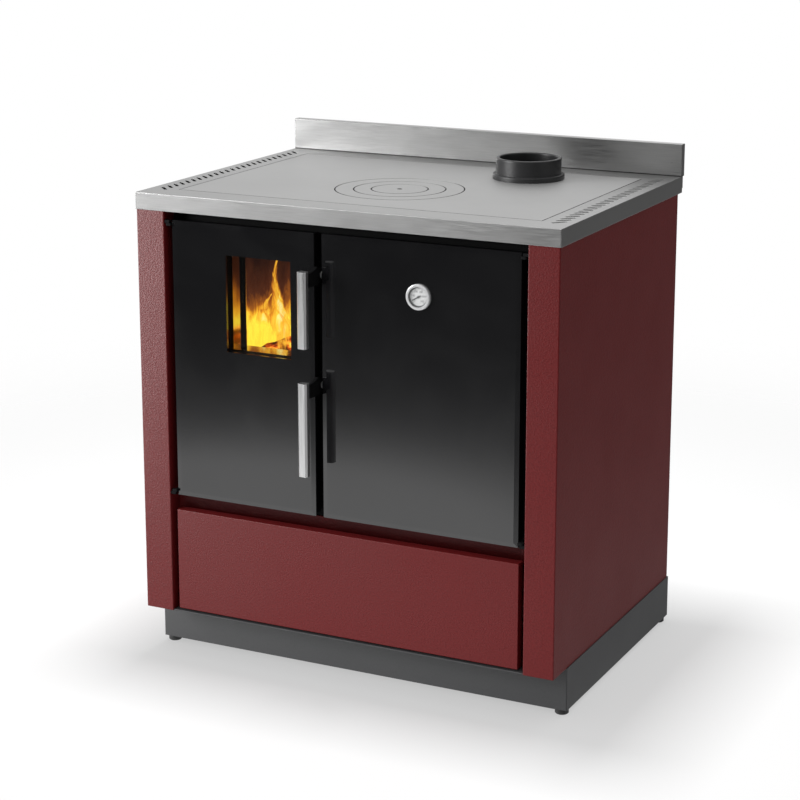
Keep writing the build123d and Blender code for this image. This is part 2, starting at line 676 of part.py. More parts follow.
# Ash pan under the grate, with a folded lip to pull it by
pan_x0 = fire_mouth_x0 + ASH_PAN_SIDE_GAP
pan_x1 = fire_mouth_x1 - ASH_PAN_SIDE_GAP
pan_y0 = FRAME_Y1 + ASH_PAN_FRONT_GAP
pan_y1 = box_y1 - ASH_PAN_BACK_GAP
pan_z1 = mouth_z0 + ASH_PAN_HEIGHT
ash_pan = block(pan_x0, pan_x1, pan_y0, pan_y1, mouth_z0, pan_z1)
ash_pan -= block(
    pan_x0 + PAN_SHEET,
    pan_x1 - PAN_SHEET,
    pan_y0 + PAN_SHEET,
    pan_y1 - PAN_SHEET,
    mouth_z0 + PAN_SHEET,
    pan_z1,
)
ash_pan += block(pan_x0, pan_x1, pan_y0 - ASH_PAN_LIP, pan_y0, pan_z1 - PAN_SHEET, pan_z1)
save("ash_pan", ash_pan)

# Smoke box: floor over the oven, walls up to the cooking plate, and a baffle
smoke_x = open_x - PLATE_LEDGE - SMOKE_INSET
smoke_y0 = open_y0 + PLATE_LEDGE + SMOKE_INSET
smoke_y1 = open_y1 - PLATE_LEDGE - SMOKE_INSET
smoke_box = block(-smoke_x, smoke_x, FRAME_Y1, smoke_y1, SMOKE_Z0, SMOKE_Z1)
smoke_box -= block(box_x0, box_x1, smoke_y0 + SMOKE_PLATE, box_y1, SMOKE_Z0, SMOKE_Z1)
smoke_box += plan_ring(-smoke_x, smoke_x, smoke_y0, smoke_y1, SMOKE_Z1, PLATE_Z0, SMOKE_PLATE)
baffle_x = flue_x - BAFFLE_FROM_FLUE
smoke_box += block(
    baffle_x,
    baffle_x + SMOKE_PLATE,
    smoke_y1 - SMOKE_PLATE - BAFFLE_LENGTH,
    smoke_y1 - SMOKE_PLATE,
    SMOKE_Z1,
    PLATE_Z0 - BAFFLE_GAP,
)
save("smoke_box", smoke_box)

# Combustion air: a duct through the back panel and a flap that hangs over its mouth
duct_y1 = BACK_Y1 + AIR_DUCT_PROUD
duct = rod_y(box_x, air_z, box_y1 + FIREBOX_PLATE, duct_y1, AIR_DUCT_R)
duct -= rod_y(box_x, air_z, box_y1 + FIREBOX_PLATE, duct_y1, AIR_DUCT_R - AIR_DUCT_WALL)
save("air_duct", duct)

flap_half = AIR_DUCT_R + FLAP_MARGIN
flap_y0 = duct_y1 + FLAP_GAP
flap_y = flap_y0 + FLAP_T / 2
flap_rod_z = air_z + flap_half + FLAP_KNUCKLE_R
flap = block(
    box_x - flap_half, box_x + flap_half, flap_y0, flap_y0 + FLAP_T, air_z - flap_half, flap_rod_z
)
flap += rod_x(flap_y, flap_rod_z, box_x - flap_half, box_x + flap_half, FLAP_KNUCKLE_R)
flap -= rod_x(
    flap_y, flap_rod_z, box_x - flap_half, box_x + flap_half, FLAP_ROD_R + FLAP_CLEARANCE
)
save("air_flap", flap)

lug_x = flap_half + FLAP_LUG_GAP
flap_hinge = rod_x(
    flap_y, flap_rod_z, box_x - lug_x - FLAP_LUG_T, box_x + lug_x + FLAP_LUG_T, FLAP_ROD_R
)
for x0 in (box_x - lug_x - FLAP_LUG_T, box_x + lug_x):
    flap_hinge += block(
        x0,
        x0 + FLAP_LUG_T,
        BACK_Y1,
        flap_y + FLAP_KNUCKLE_R,
        flap_rod_z - FLAP_KNUCKLE_R,
        flap_rod_z + FLAP_KNUCKLE_R,
    )
save("flap_hinge", flap_hinge)

# Back panel and the screws that hold it and the upstand
back_panel = block(-SIDE_IN, SIDE_IN, BACK_Y0, BACK_Y1, PLINTH_Z1, TOP_Z0)
back_panel -= rod_y(box_x, air_z, BACK_Y0, BACK_Y1, AIR_DUCT_R + AIR_DUCT_CLEARANCE)
for x, z in panel_screws:
    back_panel -= rod_y(x, z, BACK_Y0, BACK_Y1, screw_hole_r)
save("back_panel", back_panel)


def rear_screw(x, z, face_y, grip):
    """A pan-head screw driven from behind through a given thickness."""
    head = rod_y(x, z, face_y, face_y + SCREW_HEAD_T, SCREW_HEAD_R)
    head = fillet([head.edges().filter_by(GeomType.CIRCLE).sort_by(Axis.Y)[-1]], SCREW_HEAD_T / 2)
    return head + rod_y(x, z, face_y - grip, face_y, SCREW_SHANK_R)


rear_screws = [rear_screw(x, z, BACK_Y1, 2 * SHEET) for x, z in panel_screws]
rear_screws += [
    rear_screw(x, z, TOP_Y1 + SPLASH_SHEET, SPLASH_SHEET + TOP_SHEET) for x, z in splash_screws
]
save("rear_screws", *rear_screws)

# Oven: enamelled liner with ribs for the rack, on two angle supports
oven_y1 = BACK_Y0 - OVEN_BACK_GAP
oven = block(
    oven_mouth_x0 - OVEN_SHEET,
    oven_mouth_x1 + OVEN_SHEET,
    FRAME_Y1,
    oven_y1 + OVEN_SHEET,
    mouth_z0 - OVEN_SHEET,
    oven_mouth_z1 + OVEN_SHEET,
)
oven -= block(oven_mouth_x0, oven_mouth_x1, FRAME_Y1, oven_y1, mouth_z0, oven_mouth_z1)
rack_step = (oven_mouth_z1 - mouth_z0) / (RACK_LEVELS + 1)
for level in range(1, RACK_LEVELS + 1):
    rib_z1 = mouth_z0 + level * rack_step
    for x0 in (oven_mouth_x0, oven_mouth_x1 - RACK_RIB):
        oven += block(x0, x0 + RACK_RIB, FRAME_Y1, oven_y1, rib_z1 - RACK_RIB_T, rib_z1)
save("oven_liner", oven)

rack_z = mouth_z0 + (RACK_LEVELS // 2 + 1) * rack_step + RACK_ROD_R
rack_x0 = oven_mouth_x0 + RACK_GAP + RACK_ROD_R
rack_x1 = oven_mouth_x1 - RACK_GAP - RACK_ROD_R
rack_y0 = FRAME_Y1 + RACK_GAP + RACK_ROD_R
rack_y1 = oven_y1 - RACK_GAP - RACK_ROD_R
rack = rod_y(rack_x0, rack_z, rack_y0, rack_y1, RACK_ROD_R)
rack += rod_y(rack_x1, rack_z, rack_y0, rack_y1, RACK_ROD_R)
for y in (rack_y0, rack_y1):
    rack += rod_x(y, rack_z, rack_x0 - RACK_ROD_R, rack_x1 + RACK_ROD_R, RACK_ROD_R)
for wire in range(1, RACK_WIRES + 1):
    x = rack_x0 + wire * (rack_x1 - rack_x0) / (RACK_WIRES + 1)
    rack += rod_y(x, rack_z, rack_y0, rack_y1, RACK_WIRE_R)
save("oven_rack", rack)

support = block(
    oven_mouth_x0,
    oven_mouth_x0 + OVEN_SUPPORT_T,
    JAMB_Y1,
    oven_y1,
    SHELF_Z1,
    mouth_z0 - OVEN_SHEET,
)
support += block(
    oven_mouth_x0,
    oven_mouth_x0 + OVEN_SUPPORT_FLANGE,
    JAMB_Y1,
    oven_y1,
    mouth_z0 - OVEN_SHEET - OVEN_SUPPORT_T,
    mouth_z0 - OVEN_SHEET,
)
oven_mid = Plane.YZ.offset((oven_mouth_x0 + oven_mouth_x1) / 2)
save("oven_supports", support, mirror(support, about=oven_mid))

# Insulation slabs inside the side panels and the back panel
slab_z0 = SHELF_Z1
slab_z1 = TOP_Z0 - INSULATION_MARGIN
side_slab = block(-SIDE_IN, -SIDE_IN + INSULATION_T, JAMB_Y1, INNER_Y1, slab_z0, slab_z1)
back_slab_x = SIDE_IN - REAR_FLANGE - INSULATION_T
back_slab = block(-back_slab_x, back_slab_x, BACK_Y0 - INSULATION_T, BACK_Y0, slab_z0, slab_z1)
back_slab -= rod_y(box_x, air_z, BACK_Y0 - INSULATION_T, BACK_Y0, AIR_DUCT_R + AIR_DUCT_CLEARANCE)
save("insulation_slabs", side_slab, mirrored(side_slab), back_slab)


def door_glass(x0, x1):
    """A glass facing with a wide polished bevel round its front."""
    width = x1 - x0
    height = DOOR_Z1 - DOOR_Z0
    middle_x = (x0 + x1) / 2
    middle_z = (DOOR_Z0 + DOOR_Z1) / 2

    def outline(y, inset):
        plane = Plane(origin=(middle_x, y, middle_z), x_dir=(1, 0, 0), z_dir=(0, -1, 0))
        return plane * Rectangle(width - 2 * inset, height - 2 * inset)

    bevel_y = DOOR_Y0 + BEVEL_DEPTH
    bevel = loft([outline(bevel_y, 0), outline(DOOR_Y0, BEVEL_WIDTH)], ruled=True)
    return bevel + block(x0, x1, bevel_y, DOOR_FRAME_Y0, DOOR_Z0, DOOR_Z1)


def door_pan(x0, x1):
    """A steel door frame: a shallow pan, open to the back."""
    fx0 = x0 + DOOR_FRAME_INSET
    fx1 = x1 - DOOR_FRAME_INSET
    fz0 = DOOR_Z0 + DOOR_FRAME_INSET
    fz1 = DOOR_Z1 - DOOR_FRAME_INSET
    pan = block(fx0, fx1, DOOR_FRAME_Y0, DOOR_FRAME_Y0 + DOOR_SKIN, fz0, fz1)
    return pan + face_ring(fx0, fx1, DOOR_FRAME_Y0, DOOR_Y1, fz0, fz1, DOOR_RIM)


def door_gasket(x0, x1):
    """The sealing rope on a door's rim."""
    inset = DOOR_FRAME_INSET + GASKET_INSET
    return face_ring(
        x0 + inset,
        x1 - inset,
        DOOR_Y1,
        DOOR_Y1 + GASKET_T,
        DOOR_Z0 + inset,
        DOOR_Z1 - inset,
        GASKET_WIDTH,
    )


hinge_x = BAY_X - DOOR_SIDE_GAP / 2
hinge_y = DOOR_Y0 + HINGE_SETBACK
hinge_low = DOOR_Z0 + HINGE_GAP + HINGE_BRACKET_T
hinge_high = DOOR_Z1 - HINGE_GAP - HINGE_BRACKET_T


def hinge_brackets():
    """The two brackets with pins that carry the left door."""
    found = []
    low_tab_z1 = hinge_low + HINGE_GAP + HINGE_TAB_T
    high_tab_z0 = hinge_high - HINGE_GAP - HINGE_TAB_T
    for z0, z1, pin_z0, pin_z1 in (
        (DOOR_Z0 + HINGE_GAP, hinge_low, hinge_low, low_tab_z1),
        (hinge_high, DOOR_Z1 - HINGE_GAP, high_tab_z0, hinge_high),
    ):
        bracket = block(
            -BAY_X,
            -hinge_x + HINGE_BRACKET_HALF,
            hinge_y - HINGE_BRACKET_HALF,
            hinge_y + HINGE_BRACKET_HALF,
            z0,
            z1,
        )
        found.append(bracket + rod_z(-hinge_x, hinge_y, pin_z0, pin_z1, HINGE_PIN_R))
    return found


def hinge_tabs():
    """The two drilled tabs on the left door that turn on those pins."""
    found = []
    tab_y1 = DOOR_FRAME_Y0 + HINGE_TAB_REACH
    for z0 in (hinge_low + HINGE_GAP, hinge_high - HINGE_GAP - HINGE_TAB_T):
        z1 = z0 + HINGE_TAB_T
        edge_x = FIRE_X0 - GLASS_CLEARANCE
        tab = rod_z(-hinge_x, hinge_y, z0, z1, HINGE_EYE_R)
        tab += block(-hinge_x, edge_x, hinge_y - HINGE_EYE_R, tab_y1, z0, z1)
        behind_glass = DOOR_FRAME_Y0 + GLASS_CLEARANCE
        tab += block(edge_x, FIRE_X0 + DOOR_FRAME_INSET, behind_glass, tab_y1, z0, z1)
        found.append(tab - rod_z(-hinge_x, hinge_y, z0, z1, HINGE_PIN_R + HINGE_CLEARANCE))
    return found


left_brackets = hinge_brackets()
left_tabs = hinge_tabs()
save("hinge_brackets", *left_brackets, *[mirrored(piece) for piece in left_brackets])
save("fire_door_hinge_tabs", *left_tabs)
save("oven_door_hinge_tabs", *[mirrored(piece) for piece in left_tabs])

# Fire door: glass facing with a window, frame with a surround for the pane
win_x0 = FIRE_X0 + WINDOW_FROM_LEFT
win_x1 = FIRE_X1 - WINDOW_FROM_RIGHT
win_z1 = DOOR_Z1 - WINDOW_FROM_TOP
win_z0 = grate_z1 + GUARD_HEIGHT + WINDOW_OVER_GUARD
pane_y0 = DOOR_Y1 - PANE_T
window_hole = block(win_x0, win_x1, DOOR_Y0, DOOR_Y1, win_z0, win_z1)
save("fire_door_glass", door_glass(FIRE_X0, FIRE_X1) - window_hole)
fire_frame = door_pan(FIRE_X0, FIRE_X1)
fire_frame += block(
    win_x0 - WINDOW_SURROUND,
    win_x1 + WINDOW_SURROUND,
    DOOR_FRAME_Y0,
    pane_y0,
    win_z0 - WINDOW_SURROUND,
    win_z1 + WINDOW_SURROUND,
)
save("fire_door_frame", fire_frame - window_hole)
save(
    "fire_window_pane",
    block(
        win_x0 - PANE_LAP, win_x1 + PANE_LAP, pane_y0, DOOR_Y1, win_z0 - PANE_LAP, win_z1 + PANE_LAP
    ),
)

# Pane frame: a ring that clamps the pane, with a deep liner whose uprights end in a lip
clamp_reach = WINDOW_SURROUND + 2 * CLAMP_POST_R
pane_frame = face_ring(
    win_x0 - clamp_reach,
    win_x1 + clamp_reach,
    DOOR_Y1,
    DOOR_Y1 + CLAMP_T,
    win_z0 - clamp_reach,
    win_z1 + clamp_reach,
    clamp_reach,
)
liner_y1 = DOOR_Y1 + LINER_DEPTH
pane_frame += face_ring(
    win_x0 - LINER_T, win_x1 + LINER_T, DOOR_Y1, liner_y1, win_z0 - LINER_T, win_z1 + LINER_T, LINER_T
)
for x0 in (win_x0, win_x1 - LINER_LIP):
    pane_frame += block(x0, x0 + LINER_LIP, liner_y1 - LINER_T, liner_y1, win_z0, win_z1)
for x in (win_x0 - WINDOW_SURROUND - CLAMP_POST_R, win_x1 + WINDOW_SURROUND + CLAMP_POST_R):
    for z in (win_z0 + CLAMP_POST_INSET, win_z1 - CLAMP_POST_INSET):
        pane_frame += rod_y(x, z, DOOR_FRAME_Y0 + DOOR_SKIN, DOOR_Y1, CLAMP_POST_R)
save("pane_frame", pane_frame)
save("fire_door_gasket", door_gasket(FIRE_X0, FIRE_X1))

# Lever handles: arm plate in the gap between the doors, steel bar in front
arm_x0 = FIRE_X1 + ARM_GAP
arm_x1 = arm_x0 + ARM_T
arm_x = (arm_x0 + arm_x1) / 2
bar_y1 = DOOR_Y0 - HANDLE_STANDOFF
bar_y0 = bar_y1 - BAR_DEPTH
pivot_y = DOOR_Y0 + PIVOT_SETBACK
pivots = []
keepers = []
for name, drop, length in (
    ("upper_handle", UPPER_BAR_DROP, UPPER_BAR_LENGTH),
    ("lower_handle", LOWER_BAR_DROP, LOWER_BAR_LENGTH),
):
    top = DOOR_Z1 - drop
    pivot_z = top - ARM_HEIGHT / 2
    bar = block(
        arm_x - BAR_WIDTH / 2, arm_x + BAR_WIDTH / 2, bar_y0, bar_y1, top - length, top
    )
    bar = chamfer(bar.edges().filter_by(Axis.Z), BAR_CHAMFER)
    save(name + "_bar", bar)

    front_top = (bar_y1, top - ARM_FRONT_DROP)
    front_low = (bar_y1, top - ARM_FRONT_DROP - ARM_FRONT_HEIGHT)
    dip = ((DOOR_Y0 + bar_y1) / 2, top - ARM_FRONT_DROP / 2 - ARM_DIP)
    side_view = Plane(origin=(arm_x0, 0, 0), x_dir=(0, 1, 0), z_dir=(1, 0, 0))
    outline = ThreePointArc((DOOR_Y0, top), dip, front_top)
    outline += Polyline(
        front_top,
        front_low,
        (DOOR_Y0, top - ARM_HEIGHT),
        (pivot_y, pivot_z - ARM_NOSE_R),
        (pivot_y, pivot_z + ARM_NOSE_R),
        (DOOR_Y0, top),
    )
    arm = extrude(side_view * make_face(outline), ARM_T)
    arm += rod_x(pivot_y, pivot_z, arm_x0, arm_x1, ARM_NOSE_R)
    arm -= rod_x(pivot_y, pivot_z, arm_x0, arm_x1, PIVOT_R + PIVOT_CLEARANCE)
    save(name + "_arm", arm)

    boss_x0 = FIRE_X1 - DOOR_FRAME_INSET
    head_x0 = arm_x1 + PIVOT_PLAY
    pivot = rod_x(pivot_y, pivot_z, boss_x0, arm_x0 - PIVOT_PLAY, PIVOT_BOSS_R)
    pivot += rod_x(pivot_y, pivot_z, boss_x0, head_x0, PIVOT_R)
    pivot += rod_x(pivot_y, pivot_z, head_x0, head_x0 + PIVOT_HEAD_T, PIVOT_HEAD_R)
    pivots.append(pivot)

    keeper_z0 = top + KEEPER_GAP
    keeper_y0 = FRAME_Y0 - KEEPER_T
    keeper = block(arm_x0, arm_x1, keeper_y0, FRAME_Y0, keeper_z0, keeper_z0 + KEEPER_HEIGHT)
    keeper += block(
        arm_x0, arm_x1, pivot_y + KEEPER_GAP, keeper_y0, keeper_z0, keeper_z0 + KEEPER_FINGER
    )
    keepers.append(keeper)
save("handle_pivots", *pivots)
save("latch_keepers", *keepers)

# Right door: glass facing with the thermometer, frame, inner panel, magnets
gauge_x = (OVEN_X0 + OVEN_X1) / 2
gauge_z = DOOR_Z1 - GAUGE_FROM_TOP
case_hole_r = GAUGE_R + GAUGE_CLEARANCE
gauge_hole = rod_y(gauge_x, gauge_z, DOOR_Y0, DOOR_FRAME_Y0 + DOOR_SKIN, case_hole_r)
save("oven_door_glass", door_glass(OVEN_X0, OVEN_X1) - gauge_hole)
save("oven_door_frame", door_pan(OVEN_X0, OVEN_X1) - gauge_hole)
panel_inset = DOOR_FRAME_INSET + GASKET_INSET + GASKET_WIDTH + GASKET_CLEARANCE
inner_panel = block(
    OVEN_X0 + panel_inset,
    OVEN_X1 - panel_inset,
    DOOR_Y1,
    DOOR_Y1 + INNER_PANEL_T,
    DOOR_Z0 + panel_inset,
    DOOR_Z1 - panel_inset,
)
inner_panel -= rod_y(
    gauge_x, gauge_z, DOOR_Y1, DOOR_Y1 + INNER_PANEL_T, STEM_R + STEM_CLEARANCE
)
save("oven_door_inner_panel", inner_panel)
save("oven_door_gasket", door_gasket(OVEN_X0, OVEN_X1))
magnet_x0 = OVEN_X0 + panel_inset
magnet_y0 = DOOR_Y1 + INNER_PANEL_T + MAGNET_GAP
magnet_z = (DOOR_Z0 + DOOR_Z1) / 2
magnets = [
    block(
        magnet_x0,
        magnet_x0 + MAGNET_WIDTH,
        magnet_y0,
        FRAME_Y0,
        z - MAGNET_HEIGHT / 2,
        z + MAGNET_HEIGHT / 2,
    )
    for z in (magnet_z - 2 * MAGNET_HEIGHT, magnet_z + 2 * MAGNET_HEIGHT)
]
save("door_magnets", *magnets)

# Thermometer: turned bezel, lens, needle, dial, and a case with its stem
dial_y0 = DOOR_Y0 - DIAL_DEPTH
needle_y1 = dial_y0 - NEEDLE_GAP
needle_y0 = needle_y1 - NEEDLE_T
lens_y1 = needle_y0 - NEEDLE_GAP
lens_y0 = lens_y1 - LENS_T
bezel_y0 = lens_y0 - BEZEL_LIP_T
bezel = rod_y(gauge_x, gauge_z, bezel_y0, DOOR_Y0, BEZEL_R)
bezel = fillet([bezel.edges().filter_by(GeomType.CIRCLE).sort_by(Axis.Y)[0]], BEZEL_ROUND)
bezel -= rod_y(gauge_x, gauge_z, bezel_y0, lens_y0, BEZEL_LIP_R)
bezel -= rod_y(gauge_x, gauge_z, lens_y0, DOOR_Y0, case_hole_r)
save("gauge_bezel", bezel)
save("gauge_lens", rod_y(gauge_x, gauge_z, lens_y0, lens_y1, GAUGE_R))
dial_y1 = dial_y0 + DIAL_T
pin_hole_r = NEEDLE_PIN_R + NEEDLE_PIN_CLEARANCE
dial = rod_y(gauge_x, gauge_z, dial_y0, dial_y1, GAUGE_R)
save("gauge_dial", dial - rod_y(gauge_x, gauge_z, dial_y0, dial_y1, pin_hole_r))
case_y1 = dial_y1 + CASE_DEPTH
case = rod_y(gauge_x, gauge_z, dial_y1, case_y1, GAUGE_R)
case -= rod_y(gauge_x, gauge_z, dial_y1, case_y1 - CASE_WALL, GAUGE_R - CASE_WALL)
case += rod_y(gauge_x, gauge_z, case_y1, FRAME_Y1 + STEM_REACH, STEM_R)
save("gauge_case", case)
hub = rod_y(0, 0, needle_y0, needle_y1, NEEDLE_HUB_R)
pointer = block(-NEEDLE_WIDTH / 2, NEEDLE_WIDTH / 2, needle_y0, needle_y1, -NEEDLE_TAIL, NEEDLE_LENGTH)
needle = hub + pointer + rod_y(0, 0, needle_y1, dial_y1 + CASE_WALL, NEEDLE_PIN_R)
save("gauge_needle", Pos(gauge_x, 0, gauge_z) * Rot(0, NEEDLE_ANGLE, 0) * needle)

# Wood drawer: folded front pan, open box, and a rail on each side
front_x = BAY_X - DRAWER_SIDE_GAP
drawer_front = block(-front_x, front_x, DOOR_Y0, DRAWER_Y1, DRAWER_Z0, DRAWER_Z1)
drawer_front = fillet(edges_at(drawer_front, Axis.X, y=DOOR_Y0), DRAWER_ROUND)
lip_y0 = DRAWER_Y1 - DRAWER_SHEET
drawer_front -= block(
    -front_x + DRAWER_SHEET,
    front_x - DRAWER_SHEET,
    DOOR_Y0 + DRAWER_SHEET,
    lip_y0,
    DRAWER_Z0 + DRAWER_SHEET,
    DRAWER_Z1 - DRAWER_SHEET,
)
drawer_front -= block(
    -front_x + DRAWER_LIP,
    front_x - DRAWER_LIP,
    lip_y0,
    DRAWER_Y1,
    DRAWER_Z0 + DRAWER_LIP,
    DRAWER_Z1 - DRAWER_LIP,
)
save("drawer_front", drawer_front)

tray_x = BAY_X - DRAWER_BOX_SIDE
tray_y1 = BACK_Y0 - DRAWER_BACK_GAP
tray_z0 = DRAWER_Z0 + DRAWER_BOX_FLOOR
tray_z1 = tray_z0 + DRAWER_BOX_HEIGHT
tray = block(-tray_x, tray_x, DRAWER_Y1, tray_y1, tray_z0, tray_z1)
tray -= block(
    -tray_x + DRAWER_SHEET,
    tray_x - DRAWER_SHEET,
    DRAWER_Y1 + DRAWER_SHEET,
    tray_y1 - DRAWER_SHEET,
    tray_z0 + DRAWER_SHEET,
    tray_z1,
)
save("drawer_box", tray)

rail_z0 = tray_z0 + RAIL_RISE
rail_z1 = rail_z0 + RAIL
rail = block(
    tray_x, tray_x + RAIL_DEPTH, DRAWER_Y1 + RAIL_END_GAP, tray_y1, rail_z0, rail_z1
)
save("drawer_rails", rail, mirrored(rail))

runner_x1 = tray_x + RAIL_DEPTH + RUNNER_CLEARANCE
runner_z0 = rail_z0 - RUNNER_CLEARANCE
runner_z1 = rail_z1 + RUNNER_CLEARANCE
runner_y0 = DRAWER_Y1 + RAIL_END_GAP
runner_y1 = BACK_Y0 - INSULATION_T
runner = block(
    runner_x1, runner_x1 + RUNNER_T, runner_y0, runner_y1, runner_z0 - RUNNER_T, runner_z1 + RUNNER_T
)
for z0 in (runner_z0 - RUNNER_T, runner_z1):
    runner += block(
        runner_x1 - RUNNER_FLANGE, runner_x1, runner_y0, runner_y1, z0, z0 + RUNNER_T
    )
save("runner_channels", runner, mirrored(runner))

bracket_x0 = runner_x1 + RUNNER_T
bracket_mid = (rail_z0 + rail_z1) / 2
bracket_z0 = bracket_mid - BRACKET_HEIGHT / 2
bracket_z1 = bracket_mid + BRACKET_HEIGHT / 2
brackets = []
for y0 in (JAMB_Y1 + BRACKET_T, runner_y1 - BRACKET_LENGTH):
    y1 = y0 + BRACKET_LENGTH
    arm = block(bracket_x0, bracket_x0 + BRACKET_T, y0, y1, bracket_z0, bracket_z1)
    arm += block(SIDE_IN - BRACKET_T, SIDE_IN, y0, y1, bracket_z0, bracket_z1)
    arm += block(bracket_x0, SIDE_IN, y0, y1, bracket_z0, bracket_z0 + BRACKET_T)
    brackets += [arm, mirrored(arm)]
save("runner_brackets", *brackets)
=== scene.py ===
import bmesh
import bpy
import math
from mathutils import Matrix, Vector, noise


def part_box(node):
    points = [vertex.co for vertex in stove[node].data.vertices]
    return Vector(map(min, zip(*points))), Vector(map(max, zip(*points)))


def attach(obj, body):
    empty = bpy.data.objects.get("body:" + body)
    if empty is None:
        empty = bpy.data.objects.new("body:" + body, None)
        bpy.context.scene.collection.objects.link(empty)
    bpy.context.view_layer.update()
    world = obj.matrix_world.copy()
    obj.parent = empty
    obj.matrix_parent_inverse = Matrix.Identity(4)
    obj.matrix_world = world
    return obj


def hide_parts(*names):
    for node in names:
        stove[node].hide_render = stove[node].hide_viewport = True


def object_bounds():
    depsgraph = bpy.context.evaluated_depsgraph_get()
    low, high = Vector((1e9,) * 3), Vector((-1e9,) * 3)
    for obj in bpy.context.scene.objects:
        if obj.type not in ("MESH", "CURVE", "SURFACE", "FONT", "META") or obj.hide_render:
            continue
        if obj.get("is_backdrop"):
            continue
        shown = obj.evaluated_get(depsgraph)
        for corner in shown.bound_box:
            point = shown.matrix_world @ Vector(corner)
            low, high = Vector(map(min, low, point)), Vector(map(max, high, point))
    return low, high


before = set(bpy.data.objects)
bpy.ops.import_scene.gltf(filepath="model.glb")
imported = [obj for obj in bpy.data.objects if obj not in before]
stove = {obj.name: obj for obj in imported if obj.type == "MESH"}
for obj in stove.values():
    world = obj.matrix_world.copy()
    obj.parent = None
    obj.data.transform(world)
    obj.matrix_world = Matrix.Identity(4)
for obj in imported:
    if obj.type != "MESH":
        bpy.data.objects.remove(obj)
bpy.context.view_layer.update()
scene = bpy.context.scene


# Plinth and base pan: a welded frame of folded steel set back under the cabinet,
# and the sheet that lies on it. Both are powder coated anthracite, rubbed thin along
# the folds.
def wire(tree, kind, sockets=None, **settings):
    """Adds a shader node and feeds its sockets with values or with other nodes' outputs."""
    made = tree.nodes.new("ShaderNode" + kind)
    for name, value in settings.items():
        setattr(made, name, value)
    for name, value in (sockets or {}).items():
        if isinstance(value, bpy.types.NodeSocket):
            tree.links.new(value, made.inputs[name])
        else:
            made.inputs[name].default_value = value
    return made


def tint(tree, amount, first, second, mode="MIX"):
    """Mixes two colours by an amount, on the mix node's own colour sockets."""
    sockets = {0: amount, 6: first, 7: second}
    return wire(tree, "Mix", sockets, data_type="RGBA", blend_type=mode).outputs[2]


def span(tree, value, low, high, first=0.0, second=1.0):
    """Takes a value's run from low to high over to a run from first to second."""
    sockets = {"Value": value, "From Min": low, "From Max": high, "To Min": first, "To Max": second}
    return wire(tree, "MapRange", sockets, interpolation_type="SMOOTHSTEP").outputs["Result"]


def sum_of(tree, first, second, operation="ADD"):
    """Adds two values, or joins them by another operation."""
    return wire(tree, "Math", {0: first, 1: second}, operation=operation).outputs[0]


def product(tree, first, second):
    """Multiplies two values."""
    return sum_of(tree, first, second, "MULTIPLY")


def spot_on(tree):
    """Where a point lies on the stove."""
    return wire(tree, "TexCoord").outputs["Object"]


def mottle(tree, spot, scale, detail, **more):
    """A cloudy pattern of a given fineness."""
    return wire(tree, "TexNoise", {"Vector": spot, "Scale": scale, "Detail": detail, **more}).outputs["Fac"]


def axes(tree, spot):
    """The three coordinates of a spot."""
    return wire(tree, "SeparateXYZ", {"Vector": spot}).outputs


def reckon(tree, operation, first, second=(0, 0, 0)):
    """Vector arithmetic, which gives a number for lengths and products, or else a vector."""
    made = wire(tree, "VectorMath", {0: first, 1: second}, operation=operation).outputs
    return made["Value" if operation in ("LENGTH", "DISTANCE", "DOT_PRODUCT") else "Vector"]


def emboss(tree, shader, height, strength, distance, normal=None):
    """Raises a surface by a pattern's height."""
    values = {"Height": height, "Strength": strength, "Distance": distance}
    if normal is not None:
        values["Normal"] = normal
    tree.links.new(wire(tree, "Bump", values).outputs[0], shader["Normal"])


def grey(level):
    """A colour with no hue."""
    return (level, level, level, 1)


def effect(name, takes, gives):
    """An empty shader group with named inputs and outputs."""
    group = bpy.data.node_groups.new(name, "ShaderNodeTree")
    kinds = {"color": "NodeSocketColor", "value": "NodeSocketFloat", "vector": "NodeSocketVector"}
    for label, kind in takes.items():
        group.interface.new_socket(label, in_out="INPUT", socket_type=kinds[kind])
    for label, kind in gives.items():
        group.interface.new_socket(label, in_out="OUTPUT", socket_type=kinds[kind])
    return group, group.nodes.new("NodeGroupInput").outputs, group.nodes.new("NodeGroupOutput").inputs


def finish(name, **plain):
    """A material with one shader, whose plain values are set on its own sockets."""
    made = bpy.data.materials.new(name)
    made.use_nodes = True
    shader = made.node_tree.nodes["Principled BSDF"].inputs
    for label, value in plain.items():
        shader[label.replace("_", " ")].default_value = value
    return made, made.node_tree, shader


def coat(material, *names):
    """Puts a finish on pieces of the stove."""
    for name in names:
        for place in stove[name].material_slots:
            place.material = material


powder, given, out = effect(
    "powder_grain",
    {"Paint": "color", "Fleck": "color", "Grain": "value", "Rough": "value"},
    {"Color": "color", "Roughness": "value", "Height": "value"},
)
spot = spot_on(powder)
fine = mottle(powder, spot, given["Grain"], 2.0)
cloud = mottle(powder, spot, 6.0, 5.0)
flecks = span(powder, fine, 0.4, 0.72, 0.0, 0.55)
clouds = span(powder, cloud, 0.3, 0.7, 0.0, 0.12)
painted_tone = tint(powder, flecks, given["Paint"], given["Fleck"])
powder.links.new(tint(powder, clouds, painted_tone, given["Fleck"]), out["Color"])
rough_spread = span(powder, cloud, 0.25, 0.75, -0.02, 0.03)
powder.links.new(sum_of(powder, given["Rough"], rough_spread), out["Roughness"])
powder.links.new(fine, out["Height"])

